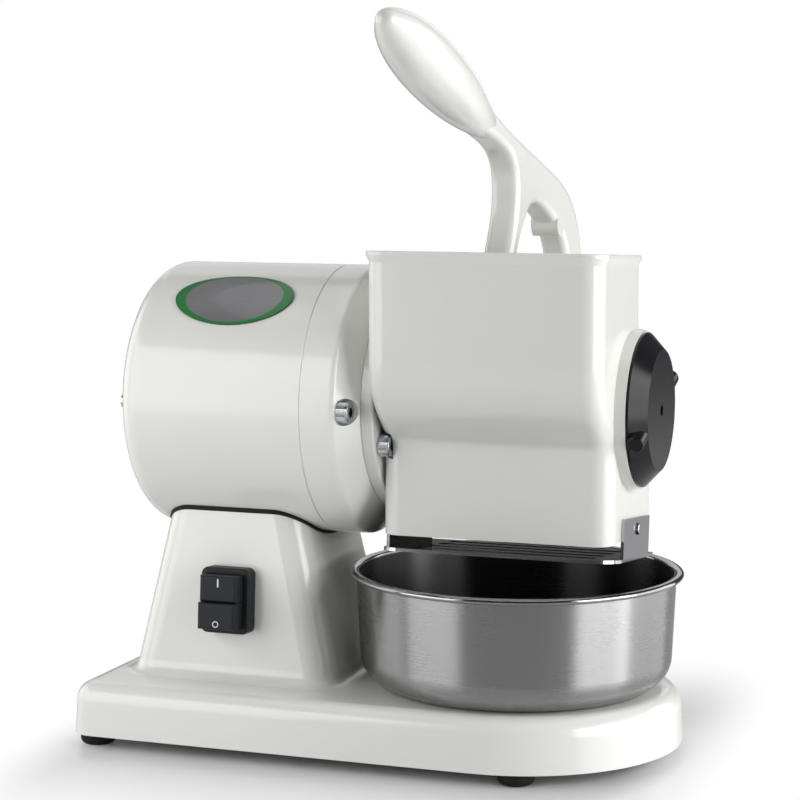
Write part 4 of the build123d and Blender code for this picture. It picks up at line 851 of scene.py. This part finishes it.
@lru_cache(maxsize=None)
def material_of(finish: Finishes) -> bpy.types.Material:
    """Material of a finish, which is built once."""
    return finish.value.material()


def dress(finish: Finishes, *nodes: str) -> None:
    """Gives nodes of the frame a finish.

    Args:
        finish: The finish.
        nodes: The nodes' names.
    """
    for name in nodes:
        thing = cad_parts[name]
        if not thing.material_slots:
            thing.data.materials.append(None)
        for slot in thing.material_slots:
            slot.material = material_of(finish)
        LOG.info("node %s: %s", name, finish.value.name)


def place_piece(piece: bpy.types.Object, body: str) -> None:
    """Hangs a new piece on a body of the frame.

    Args:
        piece: The piece, with its place in its mesh.
        body: The body that it moves with.
    """
    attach(piece, body)
    LOG.info("piece %s rides %s, %d faces", piece.name, body, len(piece.data.polygons))


class Base:
    """The base casting with its column, feet and the electrical parts inside."""

    def build(self) -> None:
        """Dresses the base and what it holds."""
        dress(Finishes.ENAMEL, "base_casting")
        dress(Finishes.RUBBER, "rubber_feet")
        dress(Finishes.SHEET, "bottom_plate", "capacitor_clip")
        dress(Finishes.ZINC, "foot_screws", "column_screws")
        dress(Finishes.GLAND, "cable_gland", "gland_nut")
        dress(Finishes.CASE, "capacitor")
        dress(Finishes.PRESSER, "terminal_block")


@dataclass
class HeadKnurl:
    """The knurled sides of the socket cap screws on the motor shield and the hopper's flange."""

    ribs: int = 44
    head_radius: float = 0.005
    rib_radius: float = 0.00013
    rib_length: float = 0.0042
    rib_start: float = 0.0005
    rib_corners: int = 4
    shield_seat: float = -0.0082
    shield_pitch: float = 0.059
    shield_angles: tuple[float, ...] = (0.0, 120.0, 240.0)
    flange_seat: float = 0.0058
    flange_pitch: float = 0.045
    flange_angles: tuple[float, ...] = (-22.0, 158.0, 202.0)

    def seats(self) -> list[Point]:
        """Places of the screw heads.

        Returns:
            The middle of each head's seat.
        """
        rows = (
            (self.shield_seat, self.shield_pitch, self.shield_angles),
            (self.flange_seat, self.flange_pitch, self.flange_angles),
        )
        return [
            (seat, -pitch * math.cos(math.radians(a)), AXIS_HEIGHT + pitch * math.sin(math.radians(a)))
            for seat, pitch, angles in rows
            for a in angles
        ]

    def tree(self) -> GeometryTree:
        """Builds the tree that sets ribs round each head.

        Returns:
            The tree.
        """
        tree = GeometryTree("head_knurl")
        ribs = tree.value("Ribs", "NodeSocketInt")
        head_radius = tree.value("Head radius")
        rib_radius = tree.value("Rib radius")
        rib_length = tree.value("Rib length")
        rib_start = tree.value("Rib start")
        turn = tree.index() * math.tau / ribs
        middle = rib_start + rib_length / 2
        spot = tree.join(middle, turn.cosine() * head_radius, turn.sine() * head_radius)
        points = tree.node("GeometryNodePoints", {"Count": ribs, "Position": spot}).out()
        sizes = {"Vertices": self.rib_corners, "Radius": rib_radius, "Depth": rib_length}
        rib = tree.node("GeometryNodeMeshCylinder", sizes).out()
        laid = {"Geometry": rib, "Rotation": (0.0, math.pi / 2, 0.0)}
        lying = tree.node("GeometryNodeTransform", laid).out()
        ring = tree.copies(lying, points, tree.join(turn, 0.0, 0.0))
        tree.close(tree.copies(ring, tree.entry.out("Geometry")))
        return tree

    def build(self) -> None:
        """Makes the ribs of all the heads as one piece."""
        values = {
            "Ribs": self.ribs,
            "Head radius": self.head_radius,
            "Rib radius": self.rib_radius,
            "Rib length": self.rib_length,
            "Rib start": self.rib_start,
            "Finish": material_of(Finishes.ZINC),
        }
        place_piece(self.tree().run("screw_head_knurl", self.seats(), values), "frame")


class Motor:
    """The motor: housing, shield, gasket, badge and the works inside."""

    def build(self) -> None:
        """Dresses the motor."""
        dress(Finishes.ENAMEL, "motor_housing", "motor_shield")
        dress(Finishes.BADGE, "oval_plate")
        dress(Finishes.RUBBER, "motor_gasket")
        dress(Finishes.ZINC, "shield_screws", "rear_screws")
        dress(Finishes.GROUND, "rear_bearing", "front_bearing", "motor_shaft", "drive_pin")
        dress(Finishes.LAMINATIONS, "stator_core", "rotor_core")
        dress(Finishes.WINDINGS, "stator_windings")
        dress(Finishes.CAST, "rotor_end_rings")


class Hopper:
    """The hopper casting with its guard, seal and screws."""

    def build(self) -> None:
        """Dresses the hopper."""
        dress(Finishes.CHUTE, "hopper_body")
        dress(Finishes.GUARD, "outlet_guard")
        dress(Finishes.ZINC, "hopper_screws", "guard_screws")
        dress(Finishes.RUBBER, "shaft_seal")


@dataclass
class Drum:
    """The grating drum, with a raised jagged burr round each of its holes."""

    rows: int = 7
    holes_round: int = 12
    first_row: float = 0.0331
    last_row: float = 0.0983
    radius: float = 0.031
    burr_radius: float = 0.0025
    burr_wire: float = 0.00055
    burr_tooth: float = 0.0004
    burr_corners: int = 12
    wire_corners: int = 3

    def tree(self) -> GeometryTree:
        """Builds the tree that sets a burr on each hole.

        Returns:
            The tree.
        """
        tree = GeometryTree("drum_burrs")
        rows = tree.value("Rows", "NodeSocketInt")
        holes = tree.value("Holes round", "NodeSocketInt")
        first = tree.value("First row")
        pitch = tree.value("Row pitch")
        radius = tree.value("Drum radius")
        height = tree.value("Axis height")
        burr_radius = tree.value("Burr radius")
        wire = tree.value("Burr wire")
        tooth = tree.value("Burr tooth")
        corners = tree.value("Burr corners", "NodeSocketInt")
        index = tree.index()
        row = (index / holes).floor()
        # Every second row is moved on by half a step.
        turn = (index % holes + (row % 2.0) * 0.5) * math.tau / holes
        out_y = 0 - turn.sine()
        out_z = turn.cosine()
        spot = tree.join(first + row * pitch, out_y * radius, out_z * radius + height)
        points = tree.node("GeometryNodePoints", {"Count": rows * holes, "Position": spot}).out()
        out = tree.join(0.0, out_y, out_z)
        facing = tree.node("FunctionNodeAlignRotationToVector", {"Vector": out}, axis="Z").out()
        # Every second corner of a burr stands up as a tooth.
        lift = tree.join(0.0, 0.0, (index % 2.0) * tooth)
        edge = {"Geometry": tree.circle(corners, burr_radius), "Offset": lift}
        jagged = tree.node("GeometryNodeSetPosition", edge).out()
        swept = {"Curve": jagged, "Profile Curve": tree.circle(self.wire_corners, wire)}
        burr = tree.node("GeometryNodeCurveToMesh", swept).out()
        tree.close(tree.copies(burr, points, facing))
        return tree

    def build(self) -> None:
        """Dresses the drum and makes its burrs as one piece."""
        dress(Finishes.DRUM, "grating_drum")
        dress(Finishes.CAST, "drum_hub", "drum_end_plate")
        dress(Finishes.BRONZE, "drum_bush")
        values = {
            "Rows": self.rows,
            "Holes round": self.holes_round,
            "First row": self.first_row,
            "Row pitch": (self.last_row - self.first_row) / (self.rows - 1),
            "Drum radius": self.radius,
            "Axis height": AXIS_HEIGHT,
            "Burr radius": self.burr_radius,
            "Burr wire": self.burr_wire,
            "Burr tooth": self.burr_tooth,
            "Burr corners": self.burr_corners,
            "Finish": material_of(Finishes.DRUM),
        }
        piece = self.tree().run("drum_burrs", [(0.0, 0.0, AXIS_HEIGHT)], values)
        place_piece(piece, "drum")


class DrumCap:
    """The black cap over the drum's end, with its pegs and axle."""

    def build(self) -> None:
        """Dresses the cap."""
        dress(Finishes.CAP, "drum_cap", "cap_pegs")
        dress(Finishes.GROUND, "cap_axle")


class Lever:
    """The lever with its presser and hinge."""

    def build(self) -> None:
        """Dresses the lever."""
        dress(Finishes.LEVER, "lever_arm")
        dress(Finishes.PRESSER, "presser")
        dress(Finishes.ZINC, "presser_screws", "pin_rings")
        dress(Finishes.GROUND, "lever_pin")


class Bowl:
    """The loose bowl."""

    def build(self) -> None:
        """Dresses the bowl."""
        dress(Finishes.BOWL, "bowl")


@dataclass
class Switch:
    """The mains switch with the printed marks of its two buttons."""

    lean: float = math.atan(0.067)
    look_from: float = 0.05
    print_height: float = 0.00012
    bar_width: float = 0.0007
    bar_length: float = 0.004
    bar_below_top: float = 0.0033
    ring_radius: float = 0.00155
    ring_width: float = 0.00042
    ring_over_bottom: float = 0.0042
    ring_corners: int = 40

    def face_point(self, node: str, height: float) -> Vector:
        """Finds a point on the front face of a button.

        Args:
            node: The button's node.
            height: The point's height.

        Returns:
            The point on the face, midway across the button.
        """
        low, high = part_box(node)
        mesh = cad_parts[node].data
        corners = [v.co for v in mesh.vertices]
        surface = BVHTree.FromPolygons(corners, [p.vertices for p in mesh.polygons])
        start = Vector(((low.x + high.x) / 2, low.y - self.look_from, height))
        return surface.ray_cast(start, Vector((0.0, 1.0, 0.0)))[0]

    def mark(self, name: str, node: str, point: Vector, outline: bmesh.types.BMesh) -> None:
        """Sets a mark on a button.

        Args:
            name: The mark's name.
            node: The button's node, which is also the name of its body.
            point: Where the mark's middle lies.
            outline: The mark, flat in X and Y and as high as its print in Z.
        """
        across = Vector((1.0, 0.0, 0.0))
        up = Vector((0.0, math.sin(self.lean), math.cos(self.lean)))
        out = across.cross(up)
        turn = Matrix((across, up, out)).transposed().to_4x4()
        outline.transform(Matrix.Translation(point) @ turn)
        bmesh.ops.recalc_face_normals(outline, faces=outline.faces)
        mesh = bpy.data.meshes.new(name)
        outline.to_mesh(mesh)
        outline.free()
        mesh.materials.append(material_of(Finishes.MARK))
        place_piece(linked(bpy.data.objects.new(name, mesh)), node)

    def bar(self) -> bmesh.types.BMesh:
        """Builds the upright bar with its corners cut.

        Returns:
            The bar.
        """
        work = bmesh.new()
        half_w = self.bar_width / 2
        half_l = self.bar_length / 2
        cut = self.bar_width / 4
        outline = [
            (half_w, half_l - cut), (half_w - cut, half_l),
            (cut - half_w, half_l), (-half_w, half_l - cut),
            (-half_w, cut - half_l), (cut - half_w, -half_l),
            (half_w - cut, -half_l), (half_w, cut - half_l),
        ]
        low = [work.verts.new((x, y, 0.0)) for x, y in outline]
        high = [work.verts.new((x, y, self.print_height)) for x, y in outline]
        self.wall(work, low, high)
        work.faces.new(high)
        work.faces.new(list(reversed(low)))
        return work

    def ring(self) -> bmesh.types.BMesh:
        """Builds the ring.

        Returns:
            The ring.
        """
        work = bmesh.new()
        inner = self.ring_radius - self.ring_width
        turns = [math.tau * k / self.ring_corners for k in range(self.ring_corners)]
        rows = []
        for radius, height in (
            (self.ring_radius, 0.0), (self.ring_radius, self.print_height),
            (inner, self.print_height), (inner, 0.0),
        ):
            spots = [(radius * math.cos(t), radius * math.sin(t), height) for t in turns]
            rows.append([work.verts.new(spot) for spot in spots])
        for first, second in zip(rows, rows[1:] + rows[:1]):
            self.wall(work, first, second)
        return work

    @staticmethod
    def wall(work: bmesh.types.BMesh, first: Row, second: Row) -> None:
        """Joins two closed rows of points with faces.

        Args:
            work: The mesh.
            first: The first row.
            second: The second row, as long as the first.
        """
        for k in range(len(first)):
            after = (k + 1) % len(first)
            work.faces.new((first[k], first[after], second[after], second[k]))

    def build(self) -> None:
        """Dresses the switch and prints its marks."""
        dress(Finishes.SWITCH, "switch_body", "on_button", "off_button")
        bar_point = self.face_point("on_button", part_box("on_button")[1].z - self.bar_below_top)
        self.mark("mark_on", "on_button", bar_point, self.bar())
        ring_point = self.face_point("off_button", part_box("off_button")[0].z + self.ring_over_bottom)
        self.mark("mark_off", "off_button", ring_point, self.ring())


@dataclass
class Softbox:
    """A large soft light that looks at the grater."""

    name: str
    place: Point
    width: float
    height: float
    power: float
    aim: Point = (0.0, 0.0, 0.13)

    def build(self) -> None:
        """Hangs the light."""
        light = bpy.data.lights.new(self.name, "AREA")
        light.shape = "RECTANGLE"
        light.size = self.width
        light.size_y = self.height
        light.energy = self.power
        lamp = linked(bpy.data.objects.new(self.name, light))
        lamp.location = self.place
        lamp.rotation_euler = look(self.place, self.aim).to_euler()
        lamp.visible_camera = False
        LOG.info("light %s", self.name)


@dataclass
class Studio:
    """The pale floor, the white surroundings, the lights and the camera."""

    floor_radius: float = 40.0
    floor_corners: int = 96
    floor_colour: Colour = (0.74, 0.74, 0.75, 1.0)
    floor_tones: Pair = (0.99, 1.0)
    floor_cloud: float = 30.0
    floor_roughness: float = 0.22
    floor_spread: float = 0.06
    # Zone round the base where the floor keeps its grey painted shade, and how far it takes to fade to
    # white.
    shade_zone_half: Pair = (0.118, 0.056)
    shade_zone_fade: Pair = (0.05, 0.16)
    ambient: float = 0.08
    camera_place: Point = (0.3576, -1.0061, 0.2816)
    camera_aim: Point = (0.0009, 0.0, 0.1644)
    camera_roll: float = math.radians(0.101)
    camera_near: float = 0.01
    lens: float = 99.9
    sensor: float = 36.0

    def floor(self) -> None:
        """Lays a round floor that fades into the white surroundings."""
        work = bmesh.new()
        bmesh.ops.create_circle(
            work, cap_ends=True, segments=self.floor_corners, radius=self.floor_radius
        )
        mesh = bpy.data.meshes.new("floor")
        work.to_mesh(mesh)
        work.free()
        mesh.materials.append(self.floor_material())
        linked(bpy.data.objects.new("floor", mesh))

    def floor_material(self) -> bpy.types.Material:
        """Builds the floor's material: grey in a zone round the base, a painted shade on top of its real
        shadows, and white far from it.

        Returns:
            The material.
        """
        tree = ShaderTree("pale_floor")
        cloud = tree.noise(tree.place(), self.floor_cloud)
        tree.surface({
            "Base Color": tree.shades(cloud, self.floor_colour, self.floor_tones),
            "Roughness": self.floor_roughness + cloud * self.floor_spread,
        })
        # Painted shade: the floor is grey in a zone shaped round the base and shows plain white to the
        # camera beyond it.
        x, y, _ = tree.split(tree.place())
        past_x, past_y = (
            ((side * side) ** 0.5 - half).above(0.0) / fade
            for side, half, fade in zip((x, y), self.shade_zone_half, self.shade_zone_fade)
        )
        faded = {"Value": past_x.reach(past_y), "From Min": 0.0, "From Max": 1.0}
        far = tree.node("ShaderNodeMapRange", faded, interpolation_type="SMOOTHSTEP").out()
        white = tree.node("ShaderNodeEmission", {"Color": WHITE, "Strength": 1.0}).out()
        shaders = {0: far * tree.seen(), 1: tree.shader.out("BSDF"), 2: white}
        tree.feed(tree.output.node, {"Surface": tree.node("ShaderNodeMixShader", shaders).out()})
        return tree.material

    def surroundings(self) -> None:
        """Makes the world white to the camera and dimmer as a light."""
        world = bpy.data.worlds.new("white_room")
        bpy.context.scene.world = world
        world.use_nodes = True
        world.node_tree.nodes.clear()
        nodes = Nodes(world.node_tree)
        strength = self.ambient + nodes.seen() * (1.0 - self.ambient)
        white = nodes.node("ShaderNodeBackground", {"Color": WHITE, "Strength": strength}).out()
        nodes.node("ShaderNodeOutputWorld", {"Surface": white})

    def lights(self) -> None:
        """Hangs the softboxes."""
        for light in (
            Softbox("right_softbox", (1.25, -0.2, 0.36), 1.0, 1.1, 17.5),
            Softbox("side_softbox", (1.05, 0.62, 0.3), 1.3, 0.9, 8.5),
            Softbox("left_softbox", (-0.62, -0.7, 0.3), 0.75, 1.0, 6.6),
            Softbox("rear_softbox", (-1.15, 0.0, 0.4), 0.9, 1.0, 4.5),
            Softbox("top_softbox", (0.0, 0.1, 1.7), 1.5, 1.2, 4.7),
            Softbox("back_softbox", (-0.5, 1.4, 0.9), 1.4, 1.2, 4.0),
        ):
            light.build()

    def camera(self) -> None:
        """Stands the camera where the photograph was taken from."""
        data = bpy.data.cameras.new("camera")
        data.lens = self.lens
        data.sensor_width = self.sensor
        data.clip_start = self.camera_near
        thing = linked(bpy.data.objects.new("camera", data))
        view = look(self.camera_place, self.camera_aim).to_matrix().to_4x4()
        roll = Matrix.Rotation(self.camera_roll, 4, "Z")
        thing.matrix_world = Matrix.Translation(self.camera_place) @ view @ roll
        bpy.context.scene.camera = thing

    def build(self) -> None:
        """Builds the studio."""
        bpy.context.scene.view_settings.view_transform = "Standard"
        self.surroundings()
        self.floor()
        self.lights()
        self.camera()
        LOG.info("studio ready")


def main() -> None:
    """Builds the studio and dresses each sub-assembly in turn."""
    logging.basicConfig(level=logging.INFO, format="%(name)s: %(message)s")
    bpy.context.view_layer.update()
    Studio().build()
    for part in (Base(), Motor(), HeadKnurl(), Hopper(), Drum(), DrumCap(), Lever(), Bowl(), Switch()):
        part.build()


if __name__ == "__main__":
    main()
